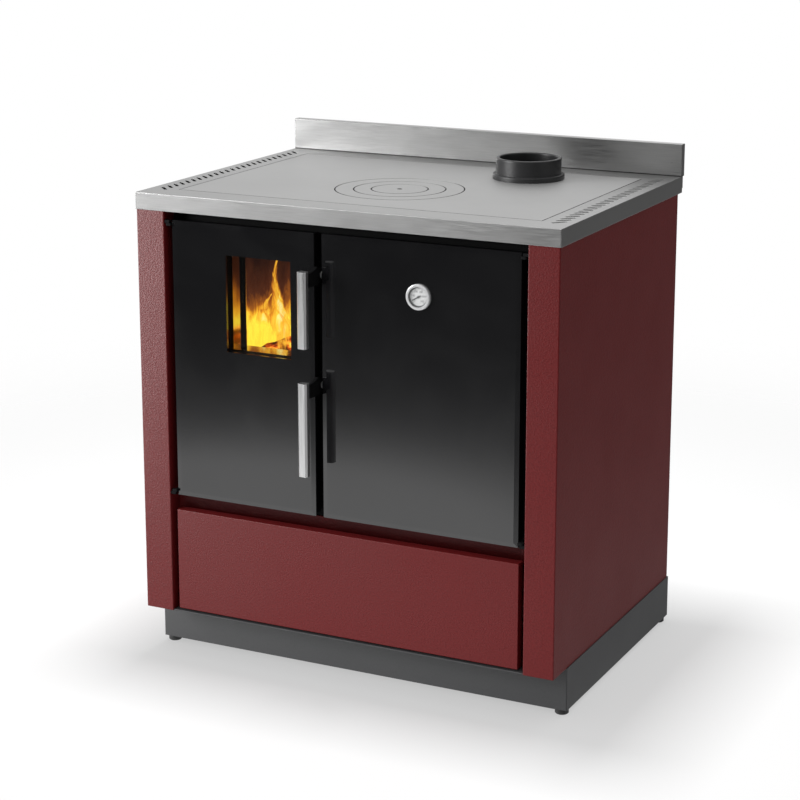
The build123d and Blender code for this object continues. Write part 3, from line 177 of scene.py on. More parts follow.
worn, given, out = effect(
    "worn_edges",
    {"Color": "color", "Bare": "color", "Radius": "value", "Amount": "value"},
    {"Color": "color", "Normal": "vector"},
)
eased = wire(worn, "Bevel", {"Radius": given["Radius"]}, samples=4).outputs[0]
flat = wire(worn, "NewGeometry").outputs["Normal"]
turned = reckon(worn, "DOT_PRODUCT", eased, flat)
spot = spot_on(worn)
patch = mottle(worn, spot, 45.0, 4.0)
rubbed = product(worn, span(worn, turned, 0.995, 0.85), span(worn, patch, 0.4, 0.65))
rubbed = product(worn, rubbed, given["Amount"])
worn.links.new(tint(worn, rubbed, given["Color"], given["Bare"]), out["Color"])
worn.links.new(eased, out["Normal"])


def rub(tree, tone, bare, radius, amount):
    """Eases the edges and rubs their colour through."""
    values = {"Color": tone, "Bare": bare, "Radius": radius, "Amount": amount}
    return wire(tree, "Group", values, node_tree=worn).outputs


def painted(name, paint, fleck, grain, rough, bare, wear, relief, radius=0.0012, distance=0.0005, **plain):
    """A coat of paint with a fine grain, rubbed through along its edges."""
    made, tree, shader = finish(name, **plain)
    values = {"Paint": paint, "Fleck": fleck, "Grain": grain, "Rough": rough}
    grains = wire(tree, "Group", values, node_tree=powder).outputs
    edges = rub(tree, grains["Color"], bare, radius, wear)
    tree.links.new(edges["Color"], shader["Base Color"])
    tree.links.new(grains["Roughness"], shader["Roughness"])
    emboss(tree, shader, grains["Height"], relief, distance, edges["Normal"])
    return made


anthracite = painted(
    "anthracite_powder_coat", (0.055, 0.056, 0.058, 1), (0.039, 0.040, 0.042, 1), grain=700.0, rough=0.45,
    bare=grey(0.16), wear=0.5, relief=0.3,
)
coat(anthracite, "plinth", "base_pan")

# Levelling feet: discs of black moulded nylon on threaded studs, which screw into
# the drilled gussets in the plinth's corners.
black_nylon = painted(
    "black_nylon", grey(0.030), grey(0.018), grain=500.0, rough=0.5, bare=grey(0.05), wear=0.5, relief=0.3,
)
coat(black_nylon, "levelling_feet")

# Back panel, the drawer's box and runners, the ash pan, the air duct and its flap:
# folded galvanised steel, whose zinc shows its crystal spangle.
zinc, tree, shader = finish("galvanised_sheet", Metallic=0.9)
spot = spot_on(tree)
wander = wire(tree, "TexNoise", {"Vector": spot, "Scale": 70.0, "Detail": 3.0})
bent = tint(tree, 0.03, spot, wander.outputs["Color"])
crystals = wire(tree, "TexVoronoi", {"Vector": bent, "Scale": 130.0})
spangle = wire(tree, "SeparateColor", {"Color": crystals.outputs["Color"]}).outputs[0]
streak = mottle(tree, spot, 4.0, 6.0)
zinc_tone = tint(tree, span(tree, spangle, 0.0, 1.0), (0.38, 0.39, 0.40, 1), (0.44, 0.45, 0.46, 1))
zinc_tone = tint(tree, span(tree, streak, 0.5, 0.8, 0.0, 0.35), zinc_tone, (0.40, 0.40, 0.39, 1))
edges = rub(tree, zinc_tone, grey(0.6), radius=0.001, amount=0.5)
tree.links.new(edges["Color"], shader["Base Color"])
tree.links.new(span(tree, spangle, 0.0, 1.0, 0.40, 0.48), shader["Roughness"])
tree.links.new(edges["Normal"], shader["Normal"])
coat(
    zinc, "back_panel", "shelf_ledges", "runner_channels", "runner_brackets", "drawer_box",
    "drawer_rails", "air_duct", "air_flap", "flap_hinge", "oven_supports", "ash_pan",
)

# Rear screws: zinc plated pan heads with a cross recess, which hold the back panel
# and the upstand.
plated = painted(
    "plated_screw", (0.42, 0.42, 0.40, 1), (0.36, 0.36, 0.34, 1), grain=300.0, rough=0.32, bare=grey(0.6),
    wear=0.4, relief=0.1, Metallic=0.95,
)
coat(plated, "rear_screws")
recess_shade_paint = painted(
    "recess_shadow", grey(0.02), grey(0.04), grain=300.0, rough=0.7, bare=grey(0.1), wear=0.2, relief=0.1,
)


def new_piece(name, shape, material, body, smooth=True):
    """Makes an object of a finished shape and lets it ride on a body of the stove."""
    mesh = bpy.data.meshes.new(name)
    shape.normal_update()
    shape.to_mesh(mesh)
    shape.free()
    mesh.materials.append(material)
    if smooth:
        mesh.shade_smooth()
        mesh.set_sharp_from_angle(angle=math.radians(40))
    piece = bpy.data.objects.new(name, mesh)
    scene.collection.objects.link(piece)
    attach(piece, body)
    return piece


def islands(node):
    """The middle, lowest and highest corners of each separate solid of a piece."""
    shape = bmesh.new()
    shape.from_mesh(stove[node].data)
    bmesh.ops.remove_doubles(shape, verts=shape.verts, dist=1e-6)
    left = set(shape.verts)
    found = []
    while left:
        reach = [left.pop()]
        group = list(reach)
        while reach:
            for edge in reach.pop().link_edges:
                for vert in edge.verts:
                    if vert in left:
                        left.remove(vert)
                        reach.append(vert)
                        group.append(vert)
        low = Vector([min(v.co[k] for v in group) for k in range(3)])
        high = Vector([max(v.co[k] for v in group) for k in range(3)])
        found.append(((low + high) / 2, low, high))
    shape.free()
    return sorted(found, key=lambda entry: tuple(entry[0]))


def add_recess_shade(shape, centre, size):
    """Adds a flat dark cross, painted as the shade of a screw's cross recess."""
    slit = 0.28 * size
    for long, wide in ((size, slit), (slit, size)):
        corners = [(-long, -wide), (long, -wide), (long, wide), (-long, wide)]
        verts = [shape.verts.new((centre[0] + x, centre[1], centre[2] + z)) for x, z in corners]
        shape.faces.new(verts[::-1])


# Painted shade: a flat dark cross on each rear screw head stands for the shade in its recess.
recess_shade_marks = bmesh.new()
hair = 0.00003
for middle, low, high in islands("rear_screws"):
    add_recess_shade(recess_shade_marks, (middle.x, high.y + hair, middle.z), size=0.0026)
new_piece("screw_recesses", recess_shade_marks, recess_shade_paint, "carcass", smooth=False)

# Side panels, divider shelf and drawer front: folded steel sheet in a dark red
# powder coat with a fine leathery grain.
red = painted(
    "dark_red_powder_coat", (0.138, 0.0092, 0.0100, 1), (0.096, 0.0052, 0.0061, 1), grain=330.0, rough=0.42,
    bare=(0.20, 0.03, 0.03, 1), wear=0.5, relief=0.75, Specular_IOR_Level=0.25,
)
coat(red, "side_panel_left", "side_panel_right", "divider_shelf", "drawer_front")

# Front frame, door frames, smoke box and latch parts: welded steel in matt black
# paint that stands the heat.
black = painted(
    "heatproof_black", (0.004, 0.004, 0.0043, 1), (0.007, 0.007, 0.0074, 1), grain=800.0, rough=0.65,
    bare=grey(0.03), wear=0.5, relief=0.2, Specular_IOR_Level=0.1,
)
coat(
    black, "front_frame", "fire_door_frame", "oven_door_frame", "upper_handle_arm", "lower_handle_arm",
    "latch_keepers", "smoke_box",
)

# Door hinges: small brackets with pins on the pillars and drilled tabs on the doors,
# blued steel that hides in the gap beside each door.
blued = painted(
    "blued_steel", (0.004, 0.004, 0.0045, 1), (0.007, 0.007, 0.008, 1), grain=900.0, rough=0.75,
    bare=grey(0.02), wear=0.4, relief=0.1, Specular_IOR_Level=0.15,
)
coat(blued, "hinge_brackets", "fire_door_hinge_tabs", "oven_door_hinge_tabs")

# Firebox: a welded steel shell with a cast grate and log guard. Heat has browned
# the steel, and soot lies on everything above the grate.
soot, given, out = effect(
    "soot", {"Color": "color", "Low": "value", "High": "value", "Amount": "value"}, {"Color": "color"}
)
spot = spot_on(soot)
height = axes(soot, spot)["Z"]
drift = mottle(soot, spot, 14.0, 6.0)
rise = span(soot, height, given["Low"], given["High"], 0.1, 0.8)
cover = span(soot, sum_of(soot, rise, drift), 0.55, 1.15)
cover = product(soot, cover, given["Amount"])
# The black of soot. blacken() below also lays it on as painted shade.
soot_and_shade_black = (0.008, 0.007, 0.007, 1)
soot.links.new(tint(soot, cover, given["Color"], soot_and_shade_black), out["Color"])


def sooty(name, base, fleck, grain, rough, low, high, amount, relief, distance, **plain):
    """A rough fired or cast surface, blackened between two heights."""
    made = painted(name, base, fleck, grain, rough, fleck, 0.8, relief, 0.002, distance, **plain)
    tree = made.node_tree
    tone = tree.nodes["Principled BSDF"].inputs["Base Color"]
    values = {"Color": tone.links[0].from_socket, "Low": low, "High": high, "Amount": amount}
    tree.links.new(wire(tree, "Group", values, node_tree=soot).outputs["Color"], tone)
    return made


firebox_steel = sooty(
    "firebox_steel", (0.06, 0.045, 0.038, 1), (0.10, 0.06, 0.04, 1), grain=120.0, rough=0.65,
    low=0.40, high=0.70, amount=0.8, relief=0.3, distance=0.001,
)
coat(firebox_steel, "firebox_shell")
cast_iron = sooty(
    "cast_iron", (0.035, 0.034, 0.034, 1), (0.055, 0.05, 0.047, 1), grain=420.0, rough=0.55,
    low=0.9, high=1.4, amount=0.2, relief=0.5, distance=0.0006, Metallic=0.3,
)
coat(cast_iron, "fire_grate", "log_guard")

# Firebricks: pale boards of pressed vermiculite that line the firebox, chipped at
# their edges and smoked towards the top.
vermiculite = sooty(
    "firebrick", (0.46, 0.33, 0.20, 1), (0.30, 0.20, 0.12, 1), grain=260.0, rough=0.85,
    low=0.52, high=0.80, amount=0.75, relief=0.6, distance=0.0015,
)
coat(vermiculite, "firebricks")

# Logs: five wedges of split beech, stacked two deep on the grate, charred black and
# glowing where the fire has eaten into the grain.
charred, tree, shader = finish("charred_log", Roughness=0.9, Emission_Strength=1.8)
spot = spot_on(tree)
stretch = reckon(tree, "MULTIPLY", spot, (1.0, 0.18, 1.0))
grain = mottle(tree, stretch, 120.0, 6.0)
blotch = mottle(tree, spot, 26.0, 5.0)
wood = tint(tree, grain, (0.020, 0.012, 0.008, 1), (0.15, 0.08, 0.04, 1))
wood = tint(tree, span(tree, blotch, 0.55, 0.75, 0.0, 0.6), wood, (0.20, 0.16, 0.12, 1))
tree.links.new(wood, shader["Base Color"])
glow = product(tree, span(tree, blotch, 0.64, 0.40), span(tree, grain, 0.62, 0.35))


def set_ramp(ramp, stops):
    """Puts a row of colours on a colour ramp."""
    marks = ramp.color_ramp.elements
    for place, colour in stops:
        mark = marks[0] if place == 0 else marks[-1] if place == 1 else marks.new(place)
        mark.color = colour


ramp = wire(tree, "ValToRGB", {"Fac": glow})
set_ramp(ramp, ((0.0, (0, 0, 0, 1)), (0.4, (0.45, 0.06, 0.003, 1)), (1.0, (1.0, 0.52, 0.05, 1))))
tree.links.new(ramp.outputs["Color"], shader["Emission Color"])
emboss(tree, shader, grain, strength=0.7, distance=0.002)


def split_log(name, middle, length, radius, wedge, roll, heading, tilt, seed):
    """A wedge split from a round, bark outwards, with rough faces and sawn ends."""
    half = math.radians(wedge) / 2
    heart, side_steps, bark_steps = 0.12, (0.35, 0.6, 0.85), 10
    outline = [(heart * radius, 0.0)]
    outline += [(radius * t * math.cos(half), radius * t * math.sin(half)) for t in side_steps]
    for k in range(bark_steps + 1):
        angle = half - 2 * half * k / bark_steps
        outline.append((radius * math.cos(angle), radius * math.sin(angle)))
    outline += [(radius * t * math.cos(half), -radius * t * math.sin(half)) for t in side_steps[::-1]]
    turn = Matrix.Rotation(heading, 4, "Z") @ Matrix.Rotation(tilt, 4, "X") @ Matrix.Rotation(roll, 4, "Y")
    shape = bmesh.new()
    rings = []
    steps = 26
    to_middle = 0.55 * radius
    coarse, coarse_depth, fine, fine_depth, saw_marks = 45, 0.0035, 140, 0.0015, 3.0
    for step in range(steps + 1):
        along = (step / steps - 0.5) * length
        ring = []
        for x, z in outline:
            point = Vector((x - to_middle, along, z))
            rough = noise.noise_vector(point * coarse + Vector((seed, 0, 0))) * coarse_depth
            rough += noise.noise_vector(point * fine + Vector((0, seed, 0))) * fine_depth
            rough.y *= saw_marks if step in (0, steps) else 1.0
            ring.append(shape.verts.new(middle + turn @ (point + rough)))
        rings.append(ring)
    count = len(outline)
    for first, second in zip(rings, rings[1:]):
        for k in range(count):
            shape.faces.new((first[k], first[(k + 1) % count], second[(k + 1) % count], second[k]))
    shape.faces.new(rings[0][::-1])
    shape.faces.new(rings[-1])
    bmesh.ops.triangulate(shape, faces=[f for f in shape.faces if len(f.verts) > 4])
    bmesh.ops.recalc_face_normals(shape, faces=shape.faces)
    new_piece(name, shape, charred, "carcass")


noise.seed_set(1)
grate_low, grate_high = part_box("fire_grate")
fire_x, fire_y, fire_z = (grate_low.x + grate_high.x) / 2, -0.01, grate_high.z
log_rows = (
    (-0.052, 0.000, 0.040, 0.062, 130, 90, 3),
    (0.040, 0.012, 0.038, 0.060, 120, 80, -5),
    (-0.050, -0.010, 0.058, 0.042, 110, 200, -7),
    (0.042, -0.005, 0.084, 0.052, 120, -20, 8),
    (0.010, -0.064, 0.054, 0.038, 105, 100, 24),
)
for place, (x, y, z, radius, wedge, roll, heading) in enumerate(log_rows):
    length = 0.27 + 0.012 * (place % 3)
    tilt = 2.0 * (place % 2)
    split_log(
        f"log_{place + 1}", Vector((fire_x + x, fire_y + y, fire_z + z)), length, radius, wedge,
        math.radians(roll), math.radians(heading), math.radians(tilt), seed=3.7 * place,
    )

# Embers and ash: a bed of glowing charcoal on the grate, grey where it has cooled, and
# the fine ash that has dropped through into the pan.
embers, tree, shader = finish("embers", Roughness=0.95, Emission_Strength=2.5)
spot = spot_on(tree)
lumps = wire(tree, "TexVoronoi", {"Vector": spot, "Scale": 95.0}).outputs["Distance"]
heat = mottle(tree, spot, 26.0, 4.0)
ash = tint(tree, span(tree, lumps, 0.2, 0.6), (0.38, 0.35, 0.32, 1), (0.03, 0.025, 0.02, 1))
tree.links.new(ash, shader["Base Color"])
glow = product(tree, span(tree, lumps, 0.25, 0.7), span(tree, heat, 0.35, 0.6))
ramp = wire(tree, "ValToRGB", {"Fac": glow})
set_ramp(ramp, ((0.0, (0.02, 0.001, 0, 1)), (0.5, (0.9, 0.13, 0.01, 1)), (1.0, (1.0, 0.5, 0.08, 1))))
tree.links.new(ramp.outputs["Color"], shader["Emission Color"])
emboss(tree, shader, lumps, strength=0.8, distance=0.004)


def heap(name, low_x, high_x, low_y, high_y, floor_z, rise, lump, material):
    """A loose bed that thins out towards its edges."""
    shape = bmesh.new()
    bmesh.ops.create_grid(shape, x_segments=34, y_segments=60, size=0.5)
    for vert in shape.verts:
        u, v = vert.co.x * 2, vert.co.y * 2
        swell = (1 - u ** 6) * (1 - v ** 6)
        x = (low_x + high_x) / 2 + vert.co.x * (high_x - low_x)
        y = (low_y + high_y) / 2 + vert.co.y * (high_y - low_y)
        rough = 0.5 + noise.fractal(Vector((x, y, 0.3)) * lump, 1.0, 2.0, 4) * 0.5
        vert.co = (x, y, floor_z + swell * rise * max(0.05, rough))
    new_piece(name, shape, material, "carcass")


brick_low, brick_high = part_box("firebricks")
ember_margin = 0.030
heap(
    "ember_bed", grate_low.x + ember_margin, grate_high.x - ember_margin, brick_low.y,
    brick_high.y - ember_margin, fire_z + 0.0002, rise=0.030, lump=40.0, material=embers,
)
wood_ash = painted(
    "wood_ash", (0.42, 0.40, 0.38, 1), (0.24, 0.22, 0.21, 1), grain=220.0, rough=0.95, bare=grey(0.5),
    wear=0.1, relief=0.6,
)
pan_low, pan_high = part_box("ash_pan")
pan_sheet, pan_lip = 0.002, 0.009
heap(
    "ash_heap", pan_low.x + pan_sheet, pan_high.x - pan_sheet, pan_low.y + pan_lip, pan_high.y - pan_sheet,
    pan_low.z + 0.0017, rise=0.022, lump=18.0, material=wood_ash,
)

# Fire: sheets of burning gas that climb the bricks behind the logs, yellow at the root
# and brown where the gas is spent.
burning_gas = {
    "Base_Color": grey(0.0), "Roughness": 1.0, "Specular_IOR_Level": 0.0, "Emission_Strength": 1.25,
}
blaze, tree, shader = finish("blaze", **burning_gas)
sheet = axes(tree, wire(tree, "UVMap", uv_map="sheet").outputs[0])
spot = spot_on(tree)
drawn_up = reckon(tree, "MULTIPLY", spot, (1.0, 1.0, 0.5))
billow = mottle(tree, drawn_up, 20.0, 3.0, Distortion=0.8)
wisps = mottle(tree, drawn_up, 70.0, 4.0, Distortion=1.2)
reach = sum_of(tree, span(tree, billow, 0.25, 0.75, -0.09, 0.09), span(tree, wisps, 0.2, 0.8, -0.04, 0.04))
deep = axes(tree, spot)["Y"]
reach = sum_of(tree, reach, span(tree, deep, -0.12, 0.06, 0.0, 0.12))
level = sum_of(tree, sheet["Y"], reach)
ramp = wire(tree, "ValToRGB", {"Fac": level})
set_ramp(ramp, (
    (0.0, (1.0, 0.42, 0.02, 1)), (0.24, (1.0, 0.78, 0.05, 1)), (0.46, (1.0, 0.80, 0.06, 1)),
    (0.54, (0.82, 0.36, 0.020, 1)), (0.63, (0.32, 0.095, 0.012, 1)), (0.73, (0.075, 0.021, 0.009, 1)),
    (1.0, (0.020, 0.007, 0.006, 1)),
))
streaks = span(tree, wisps, 0.40, 0.65, 0.0, 0.22)
burning = tint(tree, streaks, ramp.outputs["Color"], (0.80, 0.40, 0.16, 1), "MULTIPLY")
tree.links.new(burning, shader["Emission Color"])
tree.links.new(span(tree, level, 1.0, 0.6, 0.6, 0.97), shader["Alpha"])


def weave(shape, uv, grid):
    """Joins rows of corners into a sheet, each with its place on it."""
    for low, high in zip(grid, grid[1:]):
        for k in range(len(low) - 1):
            corners = (low[k], low[k + 1], high[k + 1], high[k])
            face = shape.faces.new([vert for vert, place in corners])
            for loop, (vert, place) in zip(face.loops, corners):
                loop[uv].uv = place


def flame_wall(name, corners, low_z, high_z):
    """A wavy sheet of flame that follows a path along the bricks."""
    shape = bmesh.new()
    uv = shape.loops.layers.uv.new("sheet")
    path = []
    stride = 0.008
    for first, second in zip(corners, corners[1:]):
        pieces = max(2, int((second - first).length / stride))
        path += [first.lerp(second, k / pieces) for k in range(pieces)]
    path.append(corners[-1])
    middle = sum(corners, Vector()) / len(corners)
    rows, wave_grain, wave_depth = 30, 24, 0.010
    grid = []
    for row in range(rows + 1):
        t = row / rows
        line = []
        for step, point in enumerate(path):
            inward = (middle - point).normalized()
            wave = 0.5 + 0.5 * noise.noise(Vector((point.x, point.y, 0.25 * t)) * wave_grain)
            place = point + inward * wave_depth * wave + Vector((0, 0, low_z + (high_z - low_z) * t))
            line.append((shape.verts.new(place), (step / (len(path) - 1), t)))
        grid.append(line)
    weave(shape, uv, grid)
    new_piece(name, shape, blaze, "carcass")


brick_t = 0.028
left_x, right_x = brick_low.x + brick_t + 0.006, brick_high.x - brick_t - 0.006
front_y, back_y = brick_low.y + 0.004, brick_high.y - brick_t - 0.008
turn = 0.045
wall_path = (
    (left_x, front_y), (left_x, back_y - turn), (left_x + turn, back_y),
    (right_x - turn, back_y), (right_x, back_y - turn), (right_x, front_y),
)
flame_wall("fire_walls", [Vector((x, y, 0)) for x, y in wall_path], fire_z + 0.004, brick_high.z - 0.004)

# Flames: tongues that stand on the logs in front of the fire, orange and ragged, the
# tallest at the right of the window.
flame, tree, shader = finish("flame", **burning_gas)
sheet = axes(tree, wire(tree, "UVMap", uv_map="tongue").outputs[0])
spot = spot_on(tree)
lick = reckon(tree, "MULTIPLY", spot, (1.0, 1.0, 0.28))
wisps = mottle(tree, lick, 110.0, 4.0, Distortion=0.8)
billow = mottle(tree, lick, 34.0, 2.0)
side = sum_of(tree, sum_of(tree, sheet["X"], 0.5, "SUBTRACT"), 0.0, "ABSOLUTE")
core = span(tree, side, 0.5, 0.05)
body = sum_of(tree, core, span(tree, sheet["Y"], 1.0, 0.0, 0.04, 0.60))
rag = sum_of(tree, span(tree, wisps, 0.25, 0.75, -0.55, 0.30), span(tree, billow, 0.3, 0.7, -0.35, 0.15))
warmth = sum_of(tree, body, rag)
ramp = wire(tree, "ValToRGB", {"Fac": product(tree, warmth, 0.60)})
set_ramp(ramp, (
    (0.0, (0.10, 0.012, 0.002, 1)), (0.3, (0.45, 0.09, 0.006, 1)), (0.55, (0.86, 0.32, 0.02, 1)),
    (0.8, (1.0, 0.62, 0.05, 1)), (1.0, (1.0, 0.86, 0.30, 1)),
))
tree.links.new(ramp.outputs["Color"], shader["Emission Color"])
foot = span(tree, sheet["Y"], 0.0, 0.18)
veil = product(tree, span(tree, warmth, 0.40, 1.20, 0.0, 0.80), foot)
tree.links.new(veil, shader["Alpha"])


def flame_tongue(shape, uv, root, tall, wide, heading, lean, seed):
    """One curled sheet of flame, from a broad root to a thin tip."""
    rows, columns = 22, 8
    across = Vector((math.cos(heading), math.sin(heading), 0))
    out_of = Vector((-across.y, across.x, 0))
    grid = []
    for row in range(rows + 1):
        t = row / rows
        belly = 0.75 + 0.45 * math.sin(math.pi * min(1.0, 1.6 * t))
        half = wide / 2 * (1 - t) ** 0.55 * belly
        sway = 0.010 * math.sin(seed + 6.5 * t) * t
        middle = root + lean * t ** 1.3 + across * sway + Vector((0, 0, tall * t))
        line = []
        for column in range(columns + 1):
            s = column / columns * 2 - 1
            curl = 0.35 * half * (s * s - 0.4)
            ripple = 0.006 * math.sin(2.5 * s + 5 * t + seed)
            place = middle + across * half * s + out_of * (curl + ripple)
            line.append((shape.verts.new(place), (s / 2 + 0.5, t)))
        grid.append(line)
    weave(shape, uv, grid)


tongues = bmesh.new()
uv = tongues.loops.layers.uv.new("tongue")
tongue_rows = (
    (-0.014, -0.094, 0.100, 0.165, 0.048, 0.50, -0.006, 0.2),
    (-0.052, -0.088, 0.125, 0.075, 0.040, 0.60, 0.010, 1.7),
    (-0.004, -0.108, 0.085, 0.090, 0.040, 0.45, -0.004, 4.4),
    (0.030, -0.040, 0.090, 0.150, 0.060, 0.40, -0.010, 5.2),
    (0.000, 0.030, 0.090, 0.160, 0.065, 0.55, 0.008, 6.6),
    (-0.045, 0.060, 0.080, 0.140, 0.060, 0.50, 0.010, 7.3),
    (0.045, 0.080, 0.080, 0.150, 0.060, 0.30, -0.012, 8.8),
)
for x, y, z, tall, wide, heading, lean, seed in tongue_rows:
    root = Vector((fire_x + x, fire_y + y, fire_z + z))
    flame_tongue(tongues, uv, root, tall, wide, heading, Vector((lean, lean / 2, 0)), seed)
new_piece("flames", tongues, flame, "carcass")

# Oven: a liner and door panel in dark vitreous enamel with pale specks, and a rack
# of polished steel wire.
enamel, tree, shader = finish("speckled_enamel", Coat_Roughness=0.05)
spot = spot_on(tree)
specks = wire(tree, "TexVoronoi", {"Vector": spot, "Scale": 260.0}).outputs["Distance"]
few = mottle(tree, spot, 170.0, 1.0)
dots = product(tree, span(tree, specks, 0.24, 0.16), span(tree, few, 0.55, 0.62))
ground = mottle(tree, spot, 9.0, 4.0)
base = tint(tree, ground, (0.018, 0.020, 0.026, 1), (0.034, 0.037, 0.046, 1))
base = tint(tree, dots, base, (0.55, 0.57, 0.60, 1))
edges = rub(tree, base, (0.08, 0.085, 0.1, 1), radius=0.0015, amount=0.6)
tree.links.new(edges["Color"], shader["Base Color"])
tree.links.new(span(tree, ground, 0.3, 0.7, 0.16, 0.26), shader["Roughness"])
tree.links.new(span(tree, ground, 0.3, 0.7, 0.3, 0.5), shader["Coat Weight"])
emboss(tree, shader, ground, 0.05, 0.002, edges["Normal"])
coat(enamel, "oven_liner", "oven_door_inner_panel")

brush, given, out = effect(
    "brushed_lines",
    {"Light": "color", "Dark": "color", "Along": "vector", "Rough": "value"},
    {"Color": "color", "Roughness": "value", "Height": "value"},
)
spot = spot_on(brush)
drawn = reckon(brush, "MULTIPLY", spot, given["Along"])
lines = mottle(brush, drawn, 1.0, 4.0, Roughness=0.65)
cloud = mottle(brush, spot, 3.5, 5.0)
tone = tint(brush, span(brush, lines, 0.25, 0.75), given["Dark"], given["Light"])
brush.links.new(tint(brush, span(brush, cloud, 0.35, 0.75, 0.0, 0.35), tone, given["Dark"]), out["Color"])
scatter = sum_of(brush, span(brush, lines, 0.2, 0.8, -0.06, 0.06), span(brush, cloud, 0.2, 0.8, -0.03, 0.05))
brush.links.new(sum_of(brush, given["Rough"], scatter), out["Roughness"])
brush.links.new(lines, out["Height"])


def brushed(name, light, dark, along, rough, relief, **plain):
    """Bare steel drawn under an abrasive belt, its edges eased and bright."""
    made, tree, shader = finish(name, **{"Metallic": 1.0, **plain})
    values = {"Light": light, "Dark": dark, "Along": along, "Rough": rough}
    drawn = wire(tree, "Group", values, node_tree=brush).outputs
    edges = rub(tree, drawn["Color"], grey(0.8), radius=0.0008, amount=0.6)
    tree.links.new(edges["Color"], shader["Base Color"])
    tree.links.new(drawn["Roughness"], shader["Roughness"])
    emboss(tree, shader, drawn["Height"], relief, 0.0002, edges["Normal"])
    return made


rack_wire = brushed("rack_wire", grey(0.66), grey(0.5), along=(400.0, 60.0, 400.0), rough=0.22, relief=0.1)
coat(rack_wire, "oven_rack")

# Insulation: slabs of yellow mineral wool pressed between the hot boxes and the
# side and back panels, a little uneven where they were cut.
wool, tree, shader = finish("mineral_wool", Roughness=1.0)
spot = spot_on(tree)
fibres = reckon(tree, "MULTIPLY", spot, (1.0, 1.0, 0.25))
strands = mottle(tree, fibres, 420.0, 4.0, Distortion=1.5)
tree.links.new(tint(tree, strands, (0.22, 0.17, 0.07, 1), (0.52, 0.44, 0.24, 1)), shader["Base Color"])
emboss(tree, shader, strands, strength=0.9, distance=0.002)


def wool_slab(shape, low, high, thin, hole):
    """A closed slab with lumpy faces, cut round the air duct where that passes through."""
    wide, tall = [k for k in range(3) if k != thin]
    cells, lump_grain, lump_height = 24, 26, 0.0030

    def corner(i, j, face):
        place = Vector((0, 0, 0))
        place[wide] = low[wide] + (high[wide] - low[wide]) * i / cells
        place[tall] = low[tall] + (high[tall] - low[tall]) * j / cells
        if hole:
            off = Vector((place.x - hole[0], 0, place.z - hole[1]))
            if off.length < hole[2]:
                place += off.normalized() * (hole[2] - off.length)
        lump = lump_height * (0.5 + 0.5 * noise.noise(place * lump_grain))
        place[thin] = low[thin] + lump if face == 0 else high[thin] - lump
        return place

    kept = set()
    for i in range(cells):
        for j in range(cells):
            middle = (corner(i, j, 0) + corner(i + 1, j + 1, 0)) / 2
            if not hole or math.hypot(middle.x - hole[0], middle.z - hole[1]) >= hole[2]:
                kept.add((i, j))
    verts = {}

    def vert(i, j, face):
        if (i, j, face) not in verts:
            verts[i, j, face] = shape.verts.new(corner(i, j, face))
        return verts[i, j, face]

    for i, j in kept:
        square = ((i, j), (i + 1, j), (i + 1, j + 1), (i, j + 1))
        for face in (0, 1):
            shape.faces.new([vert(a, b, face) for a, b in square])
        for near, (first, second) in zip(
            ((i, j - 1), (i + 1, j), (i, j + 1), (i - 1, j)), zip(square, square[1:] + square[:1])
        ):
            if near not in kept:
                shape.faces.new([vert(*first, 0), vert(*second, 0), vert(*second, 1), vert(*first, 1)])


slabs = bmesh.new()
duct_low, duct_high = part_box("air_duct")
duct_middle = (duct_low + duct_high) / 2
duct_hole = (duct_middle.x, duct_middle.z, (duct_high.x - duct_low.x) / 2 + 0.004)
for middle, low, high in islands("insulation_slabs"):
    size = high - low
    thin = min(range(3), key=lambda k: size[k])
    wool_slab(slabs, low, high, thin, duct_hole if thin == 1 else None)
bmesh.ops.recalc_face_normals(slabs, faces=slabs.faces)
wool_piece = new_piece("wool_slabs", slabs, wool, "carcass")
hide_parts("insulation_slabs")

# Worktop and upstand: folded stainless sheet, brushed from side to side, with a row
# of slanted vents down each side. Inside its folded rim, the faces below the top, such
# as the vents' walls, are blackened as painted shade, and a narrow band at the
# upstand's foot is blackened just above the worktop.
def blacken(material, cover):
    """Blackens a finish as far as a mask covers it."""
    tree = material.node_tree
    tone = tree.nodes["Principled BSDF"].inputs["Base Color"]
    tree.links.new(tint(tree, cover, tone.links[0].from_socket, soot_and_shade_black), tone)


sheet_steel = {
    "light": (0.49, 0.49, 0.487, 1), "dark": (0.42, 0.42, 0.418, 1), "along": (24.0, 800.0, 800.0),
    "relief": 0.15,
}
stainless = brushed("brushed_stainless", rough=0.40, **sheet_steel)
coat(stainless, "worktop")
upstand_steel = brushed("upstand_stainless", rough=0.33, **sheet_steel)
coat(upstand_steel, "backsplash")
tree = stainless.node_tree
top_low, top_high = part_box("worktop")
place = axes(tree, spot_on(tree))
under = span(tree, place["Z"], top_high.z - 0.0004, top_high.z - 0.0012)
across = sum_of(tree, place["X"], 0.0, "ABSOLUTE")
unshaded_margin, shaded_margin = 0.004, 0.006
within = span(tree, across, top_high.x - unshaded_margin, top_high.x - shaded_margin)
within = product(tree, within, span(tree, place["Y"], top_low.y + unshaded_margin, top_low.y + shaded_margin))
within = product(tree, within, span(tree, place["Y"], top_high.y - unshaded_margin, top_high.y - shaded_margin))
# Painted shade: faces below the top surface, inside the rim, such as the vent walls, go black.
blacken(stainless, product(tree, under, within))
tree = upstand_steel.node_tree
height = axes(tree, spot_on(tree))["Z"]
blacken(upstand_steel, span(tree, height, top_high.z + 0.0020, top_high.z + 0.0013, 0.0, 0.85))

# Cooking plate, rings and lid: thick steel, ground flat and duller than the worktop,
# laid loose in the worktop's opening. Their sides and narrow strips along each seam are
# blackened as painted shade in the gaps, so the seams show as dark lines.
plate_steel = brushed(
    "ground_plate_steel", (0.55, 0.55, 0.547, 1), (0.48, 0.48, 0.478, 1), along=(30.0, 700.0, 700.0),
    rough=0.55, relief=0.1,
)


